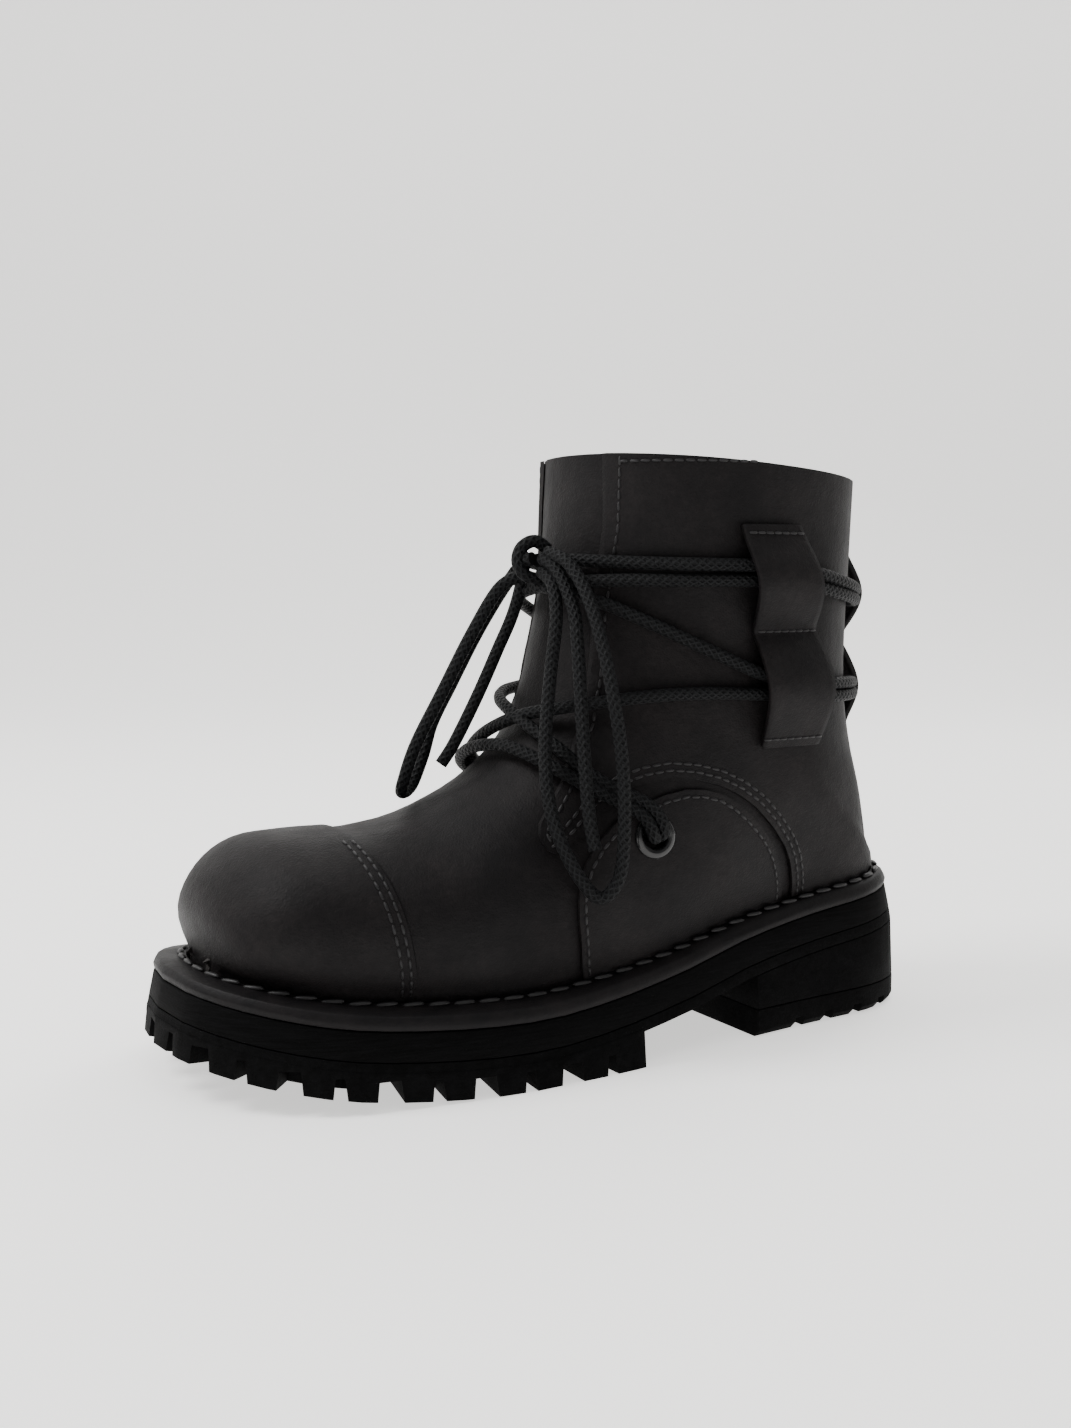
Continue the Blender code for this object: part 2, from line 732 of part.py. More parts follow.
def turn_of(line, x, z):
    """Which side of a section's line a point in side view is on, by its sign."""
    base, top = line
    return (top.x - base.x) * (z - base.y) - (top.y - base.y) * (x - base.x)


SECTION_LINES = [section(k / 4)[:2] for k in range(4 * len(SECTIONS) - 3)]


def half_width_at(x, z, side):
    """Half width of the upper at a point in side view, none outside it."""
    before = None
    for k, line in enumerate(SECTION_LINES):
        place = k / 4
        ahead = turn_of(line, x, z)
        if before is not None and before * ahead <= 0:
            low, high = place - 0.25, place
            for _ in range(12):
                mid = (low + high) / 2
                if turn_of(section(mid)[:2], x, z) * before > 0:
                    low = mid
                else:
                    high = mid
            base, top, *_ = section(low)
            run = top - base
            a = (Vector((x, z)) - base).dot(run) / run.length_squared
            if 0 <= a <= 1:
                return width_at(low, a, side)
        before = ahead
    return 0.0


def ring_point(turn, z):
    """Point of the upper's outer face at a height, at a turn in degrees from the front."""
    way = Vector((cos(radians(turn)), sin(radians(turn))))
    low, high = 0.0, SOLE_LENGTH / 2
    for _ in range(13):
        r = (low + high) / 2
        x = RING_CENTRE + way.x * r
        y = way.y * r - swing(x)
        if abs(y) < half_width_at(x, z, 1 if y >= 0 else -1):
            low = r
        else:
            high = r
    return Vector((RING_CENTRE + way.x * low, way.y * low, z))


def on_ring(turn, z, lift):
    """Point off the upper's outer face, at a height and a turn in degrees from the front."""
    p = ring_point(turn, z)
    around = ring_point(turn + 3, z) - p
    along = ring_point(turn, z + 0.003) - p
    return p + around.cross(along).normalized() * lift


def turn_at(x, z, side):
    """Turn from the front, in degrees, of a point given in side view."""
    y = swing(x) + side * half_width_at(x, z, side)
    return degrees(atan2(y, x - RING_CENTRE))


def strap(name, rows):
    """Stitched loop over the quarters: each row has its height, its edges' turns and its lift."""
    vertices, faces = [], []
    for z, first, last, lift in rows:
        for k in range(STRAP_POINTS):
            turn = first + (last - first) * k / (STRAP_POINTS - 1)
            vertices.append(on_ring(turn, z, LAYER + OVERLAY_GAP + GAP + lift))
    for r in range(len(rows) - 1):
        for c in range(STRAP_POINTS - 1):
            i = r * STRAP_POINTS + c
            far = i + STRAP_POINTS
            faces += [(i, far + 1, i + 1), (i, far, far + 1)]
    piece = build(name, vertices, faces, leather, closed=False)
    thicken(piece, STRAP_WALL, 1.0)
    return piece


def make_loops():
    for side, name in ((1, "side_loop_outer"), (-1, "side_loop_inner")):
        rows = []
        for up, front, rear, lift in curve(SIDE_LOOP, 2):
            z = up * BOOT_HEIGHT
            turns = [turn_at(x * SOLE_LENGTH, z, side) for x in (front, rear)]
            rows.append((z, *turns[::side], lift * LOOP_LIFT))
        strap(name, rows)
    rows = []
    for up, half, lift in curve(BACK_LOOP, 2):
        z = up * BOOT_HEIGHT
        back = RING_CENTRE - ring_point(180, z).x
        turn = degrees(half * BACK_LOOP_WIDTH / back)
        rows.append((z, 180 - turn, 180 + turn, BACK_LOOP_PLAY + lift * LOOP_LIFT))
    strap("back_loop", rows)


def make_eyelets(walls):
    """Domed rings on the wings, and the holes under them."""
    z = EYELET_UP * BOOT_HEIGHT
    for side, name in ((1, "eyelet_outer"), (-1, "eyelet_inner")):
        turn = turn_at(EYELET_ALONG * SOLE_LENGTH, z, side)
        face = on_ring(turn, z, 0.0)
        out = (on_ring(turn, z, WALL) - face).normalized()
        pose = Matrix.Translation(face) @ Vector((0, 0, 1)).rotation_difference(out).to_matrix().to_4x4()
        profile = (
            (EYELET_HOLE / 2, -WALL),
            (EYELET_BARREL / 2, -WALL),
            (EYELET_BARREL / 2, LAYER + EYELET_SEAT),
            (EYELET_WIDTH / 2, LAYER + EYELET_SEAT),
            (EYELET_WIDTH / 2 - 0.0008, LAYER + EYELET_SEAT + 0.0009),
            (EYELET_HOLE / 2 + 0.0010, LAYER + EYELET_SEAT + 0.0014),
            (EYELET_HOLE / 2, LAYER + EYELET_SEAT + 0.0009),
        )
        vertices, faces = [], []
        count = len(profile)
        for k in range(EYELET_SIDES):
            a = 2 * pi * k / EYELET_SIDES
            vertices += [pose @ Vector((r * cos(a), r * sin(a), h)) for r, h in profile]
            for i in range(count):
                j = (i + 1) % count
                near, far = k * count, (k + 1) % EYELET_SIDES * count
                faces.append((near + i, near + j, far + j, far + i))
        build(name, vertices, faces, eyelet_paint)
        work = bmesh.new()
        bmesh.ops.create_cone(
            work,
            cap_ends=True,
            segments=EYELET_SIDES + 5,
            radius1=EYELET_BARREL / 2 + GAP,
            radius2=EYELET_BARREL / 2 + GAP,
            depth=8 * WALL,
            matrix=pose,
        )
        hole = cutter(name + "_hole", work)
        for wall in (walls[0], walls[1] if side > 0 else walls[2]):
            combine(wall, hole, "DIFFERENCE")


def cord(name, points, keep=True):
    """Lace along a smooth curve, as a mesh."""
    data = bpy.data.curves.new(name, "CURVE")
    data.dimensions = "3D"
    data.bevel_depth = LACE / 2
    data.bevel_resolution = 2
    data.use_fill_caps = True
    line = data.splines.new("POLY")
    line.points.add(len(points) - 1)
    for spot, p in zip(line.points, points):
        spot.co = (*p, 1.0)
    rope = bpy.data.objects.new(name + "_line", data)
    bpy.context.scene.collection.objects.link(rope)
    bpy.context.view_layer.update()
    mesh = bpy.data.meshes.new_from_object(rope)
    bpy.data.objects.remove(rope, do_unlink=True)
    mesh.name = name
    work = bmesh.new()
    work.from_mesh(mesh)
    bmesh.ops.remove_doubles(work, verts=work.verts, dist=0.00001)
    bmesh.ops.recalc_face_normals(work, faces=work.faces)
    work.to_mesh(mesh)
    work.free()
    mesh.materials.clear()
    mesh.materials.append(braid)
    piece = bpy.data.objects.new(name, mesh)
    (parts if keep else cutters).objects.link(piece)
    return piece


def even(points, step):
    """Points at even steps along a fine line."""
    runs = [0.0]
    for p, q in zip(points, points[1:]):
        runs.append(runs[-1] + (q - p).length)
    count = max(round(runs[-1] / step), 2)
    found, k = [], 0
    for i in range(count + 1):
        want = runs[-1] * i / count
        while k < len(runs) - 2 and runs[k + 1] < want:
            k += 1
        share = (want - runs[k]) / max(runs[k + 1] - runs[k], 1e-9)
        found.append(points[k].lerp(points[k + 1], min(share, 1.0)))
    return found


def wrapped(rows, side):
    """Lace route round the upper, mirrored for side -1."""
    rise = LAYER + OVERLAY_GAP + GAP + LACE / 2 + LACE_PLAY
    fine = []
    for turn, up, lift in curve(rows, 3):
        fine.append(on_ring(side * turn, up * BOOT_HEIGHT, rise + lift * EYELET_CLEAR))
    return even(fine, 2.6 * LACE)


def make_lace():
    crossings = cord("lace_crossings", wrapped(LACE_ROUTE, 1))
    for name, rows, side in (("other_route", LACE_ROUTE, -1), ("bar", LACE_BAR, 1)):
        combine(crossings, cord(name, wrapped(rows, side), keep=False), "UNION", crossing=True)
    for name, rows in (
        ("lace_loop_outer", BOW_LOOP_OUTER),
        ("lace_end_outer", BOW_END_OUTER),
        ("lace_loop_inner", BOW_LOOP_INNER),
        ("lace_end_inner", BOW_END_INNER),
        ("lace_knot", BOW_KNOT),
    ):
        fine = [
            Vector((along * SOLE_LENGTH, across * BALL_WIDTH, up * BOOT_HEIGHT))
            for along, across, up in curve(rows, 6)
        ]
        cord(name, even(fine, 2.4 * LACE))


def make_overlays():
    far = BALL_WIDTH
    above = BOOT_HEIGHT * 1.1
    wing = edge_curve(WING_EDGE)
    wing += welt_line(wing[-1][0], wing[0][0], 12)[1:-1]
    quarter = edge_curve(QUARTER_EDGE)
    quarter += welt_line(quarter[-1][0], -0.01, 5)[1:] + [(-0.01, above)]
    wings = []
    for side, low, high in (("outer", GAP / 2, far), ("inner", -far, -GAP / 2)):
        wings.append(overlay("wing_" + side, wing, low, high))
        overlay("quarter_" + side, quarter, low, high)
    return wings


def flare(share):
    """Inset of the sole's side, from none at the floor to FLARE at the welt."""
    return lambda x: FLARE * share


def make_outsole():
    under = LUG_DEPTH
    over = LUG_DEPTH + OUTSOLE_BODY
    body = layer(
        "outsole",
        ((flare(0.28), lambda x: bed(x) + under), (flare(0.46), lambda x: bed(x) + over)),
        rubber,
    )
    tread = layer(
        "tread",
        (
            (flare(0.0), spring),
            (flare(0.29), lambda x: bed(x) + under + OUTSOLE_BODY * 0.25),
        ),
        rubber,
        first=WAIST_END,
    )
    combine(tread, make_slots(), "DIFFERENCE")
    combine(body, tread, "UNION")
    return body


def edge_places(pitch):
    """Points at even steps round the forefoot's edge, with their inward directions."""
    rim = edge_line(1, flare(0.0), WAIST_END, SOLE_LENGTH)
    rim += edge_line(-1, flare(0.0), WAIST_END, SOLE_LENGTH)[-2::-1]
    found = []
    run, want = 0.0, pitch * 0.88
    for p, q in zip(rim, rim[1:]):
        step = (q - p).length
        while want < run + step:
            along = (q - p).normalized()
            found.append((p.lerp(q, (want - run) / step), Vector((along.y, -along.x))))
            want += pitch
        run += step
    return found


def wedge(work, place, inward, reach, width, height):
    """Slot cutter: a bar across the sole's edge, wider at the floor."""
    across = Vector((inward.y, -inward.x))
    rise = spring(place.x)
    corners = []
    for depth in (-0.008, reach):
        for z, half in ((rise - 0.003, width / 2 + SLOT_FLARE / 2), (rise + height, width / 2)):
            for turn in (-1, 1):
                spot = place + inward * depth + across * half * turn
                corners.append(work.verts.new((spot.x, spot.y, z)))
    for face in ((0, 1, 3, 2), (4, 6, 7, 5), (0, 4, 5, 1), (2, 3, 7, 6), (0, 2, 6, 4), (1, 5, 7, 3)):
        work.faces.new([corners[k] for k in face])


def make_slots():
    work = bmesh.new()
    for i, (place, inward) in enumerate(edge_places(LUG_PITCH)):
        wide = i % 2 == 1
        reach = WIDE_REACH if wide and place.x < SOLE_LENGTH - TOE_ROUND else NARROW_REACH
        wedge(work, place, inward, reach, WIDE_SLOT if wide else NARROW_SLOT, SLOT_HEIGHT)
    return cutter("slots", work)


def cutter(name, work):
    bmesh.ops.recalc_face_normals(work, faces=work.faces)
    mesh = bpy.data.meshes.new(name)
    work.to_mesh(mesh)
    work.free()
    piece = bpy.data.objects.new(name, mesh)
    cutters.objects.link(piece)
    return piece


def make_heel():
    under = LUG_DEPTH - GAP
    block = layer(
        "heel_block",
        (
            (flare(0.02), lambda x: TOP_LIFT_DEPTH + GAP),
            (flare(0.27), lambda x: bed(x) + under),
        ),
        rubber,
        last=HEEL_BREAST,
    )
    lift = layer(
        "top_lift",
        (
            (lambda x: 0.0022, lambda x: 0.0),
            (lambda x: 0.0, lambda x: 0.0026),
            (lambda x: 0.0, lambda x: TOP_LIFT_DEPTH),
        ),
        rubber,
        last=HEEL_BREAST,
    )
    work = bmesh.new()
    for share in HEEL_SLOTS:
        x = share * HEEL_BREAST
        for side in (1, -1):
            place = Vector((x, swing(x) + side * half_width(x, side)))
            inward = Vector((0.0, -side))
            wedge(work, place, inward, HEEL_SLOT_REACH, HEEL_SLOT_WIDTH, HEEL_SLOT_HEIGHT)
    combine(lift, cutter("heel_slots", work), "DIFFERENCE")
    return block, lift


def make_midsole():
    return layer(
        "midsole",
        (
            (flare(0.47), lambda x: bed(x) + MIDSOLE_BASE),
            (flare(0.95), lambda x: bed(x) + MIDSOLE_BASE + MIDSOLE_DEPTH),
        ),
        rubber,
    )


def make_insole():
    inset = lambda x: welt_inset(x) + WALL + INSOLE_PLAY
    return layer(
        "insole",
        ((inset, seat), (inset, lambda x: seat(x) + INSOLE_DEPTH)),
        lining,
    )


def make_welt():
    """Ring round the upper's foot: its outer edge, its crowned top and the bore that holds the upper."""
    bore = lambda x: welt_inset(x) - BORE_GAP
    profile = (
        (bore, 0.0),
        (flare(1.0), 0.0),
        (flare(0.9), WELT_EDGE * 0.45),
        (lambda x: FLARE + 0.0010, WELT_EDGE),
        (lambda x: FLARE + (bore(x) - FLARE) * 0.5, WELT_EDGE + WELT_CROWN * 0.6),
        (bore, WELT_EDGE + WELT_CROWN),
    )
    vertices, faces = [], []
    for inset, rise in profile:
        outer, inner = loop(inset)
        rim = outer + inner[-2:0:-1]
        vertices.extend((p.x, p.y, seat(p.x) + rise) for p in rim)
    count = len(rim)
    for k in range(len(profile)):
        low, high = k * count, (k + 1) % len(profile) * count
        for i in range(count):
            j = (i + 1) % count
            faces.append((low + i, low + j, high + j, high + i))
    return build("welt", vertices, faces, welt_leather)


for old in list(bpy.data.objects):
    bpy.data.objects.remove(old, do_unlink=True)
parts = bpy.data.collections.new("utility_ankle_boot")
cutters = bpy.data.collections.new("cutters")
bpy.context.scene.collection.children.link(parts)
bpy.context.scene.collection.children.link(cutters)

leather = paint("oiled_nubuck", (0.018, 0.017, 0.018), 0.55)
rubber = paint("black_rubber", (0.012, 0.012, 0.013), 0.7)
welt_leather = paint("welt_leather", (0.015, 0.015, 0.015), 0.5)
lining = paint("leather_lining", (0.03, 0.028, 0.027), 0.7)
braid = paint("braided_lace", (0.02, 0.02, 0.02), 0.8)
eyelet_paint = paint("painted_eyelet", (0.01, 0.01, 0.01), 0.25, metallic=0.6)

make_outsole()
make_heel()
make_midsole()
make_welt()
make_insole()
walls = [make_upper()] + make_overlays()
make_eyelets(walls)
make_loops()
make_lace()

# The origin is at the middle of the box of the boot, on the floor
graph = bpy.context.evaluated_depsgraph_get()
reach = [v.co.y for piece in parts.objects for v in piece.evaluated_get(graph).data.vertices]
middle = (max(reach) + min(reach)) / 2
for piece in list(parts.objects) + list(cutters.objects):
    piece.data.transform(Matrix.Translation((-SOLE_LENGTH / 2, -middle, 0.0)))
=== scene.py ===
# Looks of the utility ankle boot, left foot: oiled black nubuck, stitched welt, lugged rubber sole, braided lace.
# Metres, in the CAD's own frame; the forms are worked out from the same named sizes as the CAD's.
import json
from functools import lru_cache
from math import atan2, cos, degrees, exp, hypot, pi, radians, sin

import bmesh
import bpy
from mathutils import Matrix, Vector
from mathutils.bvhtree import BVHTree

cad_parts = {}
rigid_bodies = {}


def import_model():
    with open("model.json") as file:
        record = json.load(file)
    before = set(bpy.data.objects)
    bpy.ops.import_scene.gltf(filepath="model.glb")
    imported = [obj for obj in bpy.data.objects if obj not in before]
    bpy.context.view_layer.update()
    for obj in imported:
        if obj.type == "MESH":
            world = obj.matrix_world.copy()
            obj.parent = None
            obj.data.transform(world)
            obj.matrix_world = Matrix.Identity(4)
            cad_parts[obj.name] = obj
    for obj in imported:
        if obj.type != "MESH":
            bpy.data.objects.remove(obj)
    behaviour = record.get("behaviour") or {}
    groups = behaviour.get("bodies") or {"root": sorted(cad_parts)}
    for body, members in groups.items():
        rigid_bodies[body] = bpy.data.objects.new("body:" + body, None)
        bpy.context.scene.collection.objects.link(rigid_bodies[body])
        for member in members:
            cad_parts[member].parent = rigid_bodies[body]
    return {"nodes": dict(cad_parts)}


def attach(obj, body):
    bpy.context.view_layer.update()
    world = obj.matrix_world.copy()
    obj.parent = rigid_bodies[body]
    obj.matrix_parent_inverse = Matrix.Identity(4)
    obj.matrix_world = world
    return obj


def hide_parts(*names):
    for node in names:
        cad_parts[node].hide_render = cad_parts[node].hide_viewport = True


bl_info = {
    "name": "Utility ankle boot",
    "version": (1, 0, 0),
    "blender": (4, 5, 0),
    "location": "3D View > Sidebar > Boot",
    "description": "Builds the visual model of a left utility ankle boot on its CAD frame",
    "category": "Object",
}

# Driving dimensions
SOLE_LENGTH = 0.300
BALL_WIDTH = 0.119
HEEL_WIDTH = 0.0845
TOE_SWING = 0.025  # the toe's middle lies this far to the inner side
TOE_SPRING = 0.0152
HEEL_LIFT = 0.0263  # rise of the foot bed from ball to heel
BOOT_HEIGHT = 0.217
COLLAR_WIDTH = 0.096

# Sole layers, from the floor up
LUG_DEPTH = 0.0084
OUTSOLE_BODY = 0.0040
MIDSOLE_DEPTH = 0.0095
WELT_EDGE = 0.0048
WELT_CROWN = 0.0020  # the welt's top rises this much towards the upper
FLARE = 0.0040  # the sole's foot is this much wider than the welt
GAP = 0.0003

# Welt width seen from above, at the toe and at the heel
WELT_AT_TOE = 0.0122
WELT_AT_HEEL = 0.0066

# Upper
WALL = 0.0024
HOLD = 0.0086  # height over which the welt grips the upper
LAYER = 0.0013  # thickness of a leather overlay
OVERLAY_GAP = 0.0005  # from the wall to an overlay
EASE = 0.35  # share of a section above the welt over which it swells to its widest, at least
BORE_GAP = 0.0013  # from the upper's wall to the welt
RIM_RISE = 0.0008  # the wall's lower edge stays this far off the midsole

# Loops, eyelets and lace
RING_CENTRE = 0.090  # from the heel's back to the line that turns are counted round
EYELET_ALONG = 0.4577
EYELET_UP = 0.3710
EYELET_WIDTH = 0.0160
EYELET_HOLE = 0.0088
EYELET_BARREL = 0.0102
EYELET_SEAT = 0.0008  # from the wing's face to the ring
LACE = 0.0047
LACE_PLAY = 0.0009
EYELET_CLEAR = 0.0025  # the lace lies this much further out over an eyelet

# Ends of the outline that close in an arc, and how square the arc is
HEEL_ROUND = 0.049
TOE_ROUND = 0.057
HEEL_POWER = 2.8
TOE_POWER = 2.1

STATIONS = 35  # along the sole, from heel to toe

# Half widths of the sole at the ground, as shares of half the heel and half the ball width
# along, outer of heel, outer of ball, inner of heel, inner of ball
OUTLINE = (
    (0.00, 1.00, 0.00, 1.00, 0.00),
    (0.16, 1.00, 0.00, 0.98, 0.00),
    (0.28, 0.96, 0.05, 0.90, 0.03),
    (0.42, 0.52, 0.43, 0.48, 0.34),
    (0.56, 0.10, 0.86, 0.10, 0.80),
    (0.68, 0.00, 1.00, 0.00, 1.00),
    (0.80, 0.00, 0.99, 0.00, 1.02),
    (1.00, 0.00, 0.96, 0.00, 1.00),
)

# Sideways place of the middle line, as a share of TOE_SWING
# along, share
SWING = (
    (0.38, 0.00),
    (0.48, 0.10),
    (0.60, 0.34),
    (0.72, 0.56),
    (0.84, 0.80),
    (0.93, 0.95),
    (0.97, 0.97),
)

# Rise of the foot bed, as a share of HEEL_LIFT
# along, share
BED_RISE = (
    (0.00, 1.00),
    (0.10, 0.88),
    (0.20, 0.76),
    (0.31, 0.57),
    (0.42, 0.29),
    (0.50, 0.14),
    (0.62, 0.00),
)

# Sections of the upper, each a straight line in side view from its base on the welt or up the
# back to its top on the ridge, the shaft's front or the collar.
# along: base, from the heel's back (0) to the toe's tip (1); lean and rise: base further up the
# back, of the sole length and of the shaft's height; back and up: top, behind the toe's tip and
# above its seat; ball and collar: widest half width, of half the ball and half the collar width;
# widest: where along the line; power: roundness of the section
# along, lean, rise, back, up, ball, collar, widest, power
SECTIONS = (
    (0.9965, 0.0000, 0.0000, 0.0040, 0.0440, 0.030, 0.000, 0.50, 1.9),
    (0.9843, 0.0000, 0.0000, 0.0000, 0.0780, 0.230, 0.000, 0.50, 1.9),
    (0.9605, 0.0000, 0.0000, -0.0020, 0.1500, 0.510, 0.000, 0.36, 2.0),
    (0.9275, 0.0000, 0.0000, 0.0225, 0.2180, 0.670, 0.000, 0.31, 2.1),
    (0.8836, 0.0000, 0.0000, 0.0620, 0.2600, 0.750, 0.000, 0.30, 2.2),
    (0.8287, 0.0000, 0.0000, 0.1170, 0.2700, 0.775, 0.000, 0.28, 2.2),
    (0.7518, 0.0000, 0.0000, 0.1950, 0.2740, 0.790, 0.000, 0.27, 2.2),
    (0.6713, 0.0000, 0.0000, 0.2693, 0.3024, 0.790, 0.000, 0.25, 2.2),
    (0.5871, 0.0000, 0.0000, 0.3327, 0.3594, 0.740, 0.020, 0.25, 2.1),
    (0.4993, 0.0000, 0.0000, 0.3760, 0.4245, 0.550, 0.190, 0.27, 2.1),
    (0.4004, 0.0000, 0.0000, 0.4010, 0.4951, 0.350, 0.430, 0.33, 2.1),
    (0.2943, 0.0000, 0.0000, 0.4143, 0.5684, 0.180, 0.640, 0.38, 2.1),
    (0.1918, 0.0000, 0.0000, 0.4227, 0.6363, 0.080, 0.765, 0.43, 2.2),
    (0.0966, 0.0000, 0.0000, 0.4293, 0.6960, 0.020, 0.840, 0.46, 2.2),
    (0.0289, 0.0000, 0.0000, 0.4333, 0.7394, 0.000, 0.875, 0.48, 2.2),
    (0.0000, 0.0000, 0.0000, 0.4353, 0.7611, 0.000, 0.881, 0.49, 2.2),
    (0.0000, 0.0033, 0.0699, 0.4373, 0.7855, 0.000, 0.887, 0.50, 2.2),
    (0.0000, 0.0163, 0.1706, 0.4393, 0.8127, 0.000, 0.896, 0.50, 2.2),
    (0.0000, 0.0380, 0.2950, 0.4417, 0.8426, 0.000, 0.906, 0.50, 2.2),
    (0.0000, 0.0547, 0.4254, 0.4440, 0.8751, 0.000, 0.923, 0.50, 2.2),
    (0.0000, 0.0580, 0.5853, 0.4463, 0.9131, 0.000, 0.948, 0.50, 2.2),
    (0.0000, 0.0560, 0.7571, 0.4490, 0.9539, 0.000, 0.979, 0.50, 2.2),
    (0.0000, 0.0525, 0.9467, 0.4510, 1.0000, 0.000, 1.000, 0.50, 2.2),
)
HEEL_SECTION = 15  # the first section whose base is a single point, at the heel's back
CAP_EDGE = 5.64  # section number of the toe cap's back edge
CAP_STEP = 0.04  # section numbers over which the cap's edge drops to the vamp
SECTION_STEPS = 160  # finer steps from which the even ones are read


# Edges of the overlays in side view, as shares of SOLE_LENGTH and BOOT_HEIGHT
# Edge of the wing, from the welt in front over the eyelet to the welt at the heel
# along, up
WING_EDGE = (
    (0.5477, 0.1272),
    (0.5573, 0.2120),
    (0.5607, 0.2765),
    (0.5467, 0.3364),
    (0.5067, 0.3963),
    (0.4683, 0.4258),
    (0.4133, 0.4452),
    (0.3607, 0.4318),
    (0.3167, 0.3908),
    (0.2790, 0.3378),
    (0.2567, 0.2857),
    (0.2373, 0.2221),
)

# Edge of the quarter, from the collar down the front, round its tab and over the wing
# along, up
QUARTER_EDGE = (
    (0.4833, 1.0829),
    (0.4847, 0.8756),
    (0.5000, 0.6912),
    (0.5193, 0.5613),
    (0.5553, 0.4604),
    (0.5907, 0.4000),
    (0.5940, 0.3710),
    (0.5823, 0.3548),
    (0.5533, 0.3770),
    (0.5263, 0.4129),
    (0.4890, 0.4479),
    (0.4333, 0.4664),
    (0.3680, 0.4493),
    (0.3083, 0.4037),
    (0.2550, 0.3272),
    (0.2333, 0.2710),
    (0.2200, 0.2263),
)

# Route of one end of the lace from its eyelet to the knot, as turns in degrees from the front,
# heights as shares of BOOT_HEIGHT and lifts as shares of EYELET_CLEAR; the other end mirrors it
# turn, up, lift
LACE_ROUTE = (
    (41.0, 0.3779, 1.0),
    (37.0, 0.4194, 0.8),
    (30.0, 0.4424, 0.1),
    (24.0, 0.4631, 0.0),
    (12.5, 0.5138, 0.0),
    (0.0, 0.5502, 0.4),
    (-12.0, 0.5724, 0.3),
    (-30.0, 0.5945, 0.0),
    (-60.0, 0.6037, 0.0),
    (-88.0, 0.6000, 0.0),
    (-121.0, 0.5899, 0.0),
    (-150.0, 0.5853, 0.0),
    (-180.0, 0.5945, 0.0),
    (-210.0, 0.6060, 0.0),
    (-240.0, 0.6129, 0.0),
    (-258.0, 0.6221, 0.0),
    (-277.0, 0.6359, 0.0),
    (-304.0, 0.6797, 0.0),
    (-325.0, 0.7217, 0.0),
    (-342.0, 0.7535, 0.7),
    (-360.0, 0.7756, 0.7),
    (-382.0, 0.7899, 0.7),
    (-410.0, 0.7926, 0.0),
    (-453.0, 0.7899, 0.0),
    (-473.0, 0.7811, 0.0),
    (-495.0, 0.7650, 0.0),
    (-520.0, 0.7535, 0.0),
    (-540.0, 0.7594, 0.0),
    (-562.0, 0.7696, 0.0),
    (-588.0, 0.7880, 0.0),
    (-607.0, 0.8041, 0.0),
    (-627.0, 0.8147, 0.0),
    (-670.0, 0.8184, 0.0),
    (-714.0, 0.8221, 0.0),
)

# Bar of the lace between the two eyelets
# turn, up, lift
LACE_BAR = (
    (37.5, 0.3687, 1.0),
    (35.5, 0.4032, 0.8),
    (30.0, 0.4263, 0.1),
    (22.8, 0.4498, 0.0),
    (13.8, 0.4783, 0.0),
    (3.8, 0.4977, 0.0),
    (-3.8, 0.4986, 0.0),
    (-13.8, 0.4820, 0.0),
    (-22.8, 0.4516, 0.0),
    (-30.0, 0.4263, 0.1),
    (-35.5, 0.4032, 0.8),
    (-37.5, 0.3687, 1.0),
)

# Bow, as shares of SOLE_LENGTH, BALL_WIDTH and BOOT_HEIGHT
# Loop that hangs on the outer side, from the knot and back to it
# along, across, up
BOW_LOOP_OUTER = (
    (0.5450, 0.0504, 0.8041),
    (0.5483, 0.1261, 0.7834),
    (0.5533, 0.1681, 0.7281),
    (0.5633, 0.1765, 0.6406),
    (0.5833, 0.2269, 0.5207),
    (0.5917, 0.2941, 0.4240),
    (0.5767, 0.3487, 0.3410),
    (0.5483, 0.3824, 0.2880),
    (0.5267, 0.4076, 0.3226),
    (0.5217, 0.4118, 0.4147),
    (0.5200, 0.3908, 0.5115),
    (0.5267, 0.3739, 0.5991),
    (0.5283, 0.3235, 0.6820),
    (0.5317, 0.2521, 0.7650),
    (0.5367, 0.1681, 0.8180),
    (0.5417, 0.0714, 0.8364),
)

# End that hangs on the outer side
# along, across, up
BOW_END_OUTER = (
    (0.5410, 0.2143, 0.7419),
    (0.5433, 0.2437, 0.6912),
    (0.5457, 0.2647, 0.6406),
    (0.5510, 0.3109, 0.5161),
    (0.5543, 0.3487, 0.4240),
    (0.5517, 0.3739, 0.3641),
)

# Loop that hangs over the vamp
# along, across, up
BOW_LOOP_INNER = (
    (0.5550, -0.0420, 0.7972),
    (0.5767, -0.0756, 0.7742),
    (0.6100, -0.1008, 0.6959),
    (0.6433, -0.1176, 0.6083),
    (0.6767, -0.1429, 0.5161),
    (0.6883, -0.1681, 0.4562),
    (0.6833, -0.2101, 0.4309),
    (0.6617, -0.2521, 0.4378),
    (0.6433, -0.2605, 0.4885),
    (0.6300, -0.2605, 0.5438),
    (0.6033, -0.2605, 0.6083),
    (0.5700, -0.2521, 0.6912),
    (0.5500, -0.1933, 0.7604),
    (0.5433, -0.1092, 0.8065),
)

# End that hangs over the vamp
# along, across, up
BOW_END_INNER = (
    (0.5450, -0.1261, 0.7281),
    (0.5633, -0.1345, 0.6728),
    (0.5833, -0.1429, 0.6129),
    (0.6033, -0.1513, 0.5576),
    (0.6233, -0.1597, 0.5069),
    (0.6367, -0.1723, 0.4770),
)

# Turn of lace round the knot
# along, across, up
BOW_KNOT = (
    (0.5467, -0.0546, 0.8318),
    (0.5533, -0.0252, 0.8263),
    (0.5560, 0.0084, 0.8240),
    (0.5533, 0.0336, 0.8263),
)


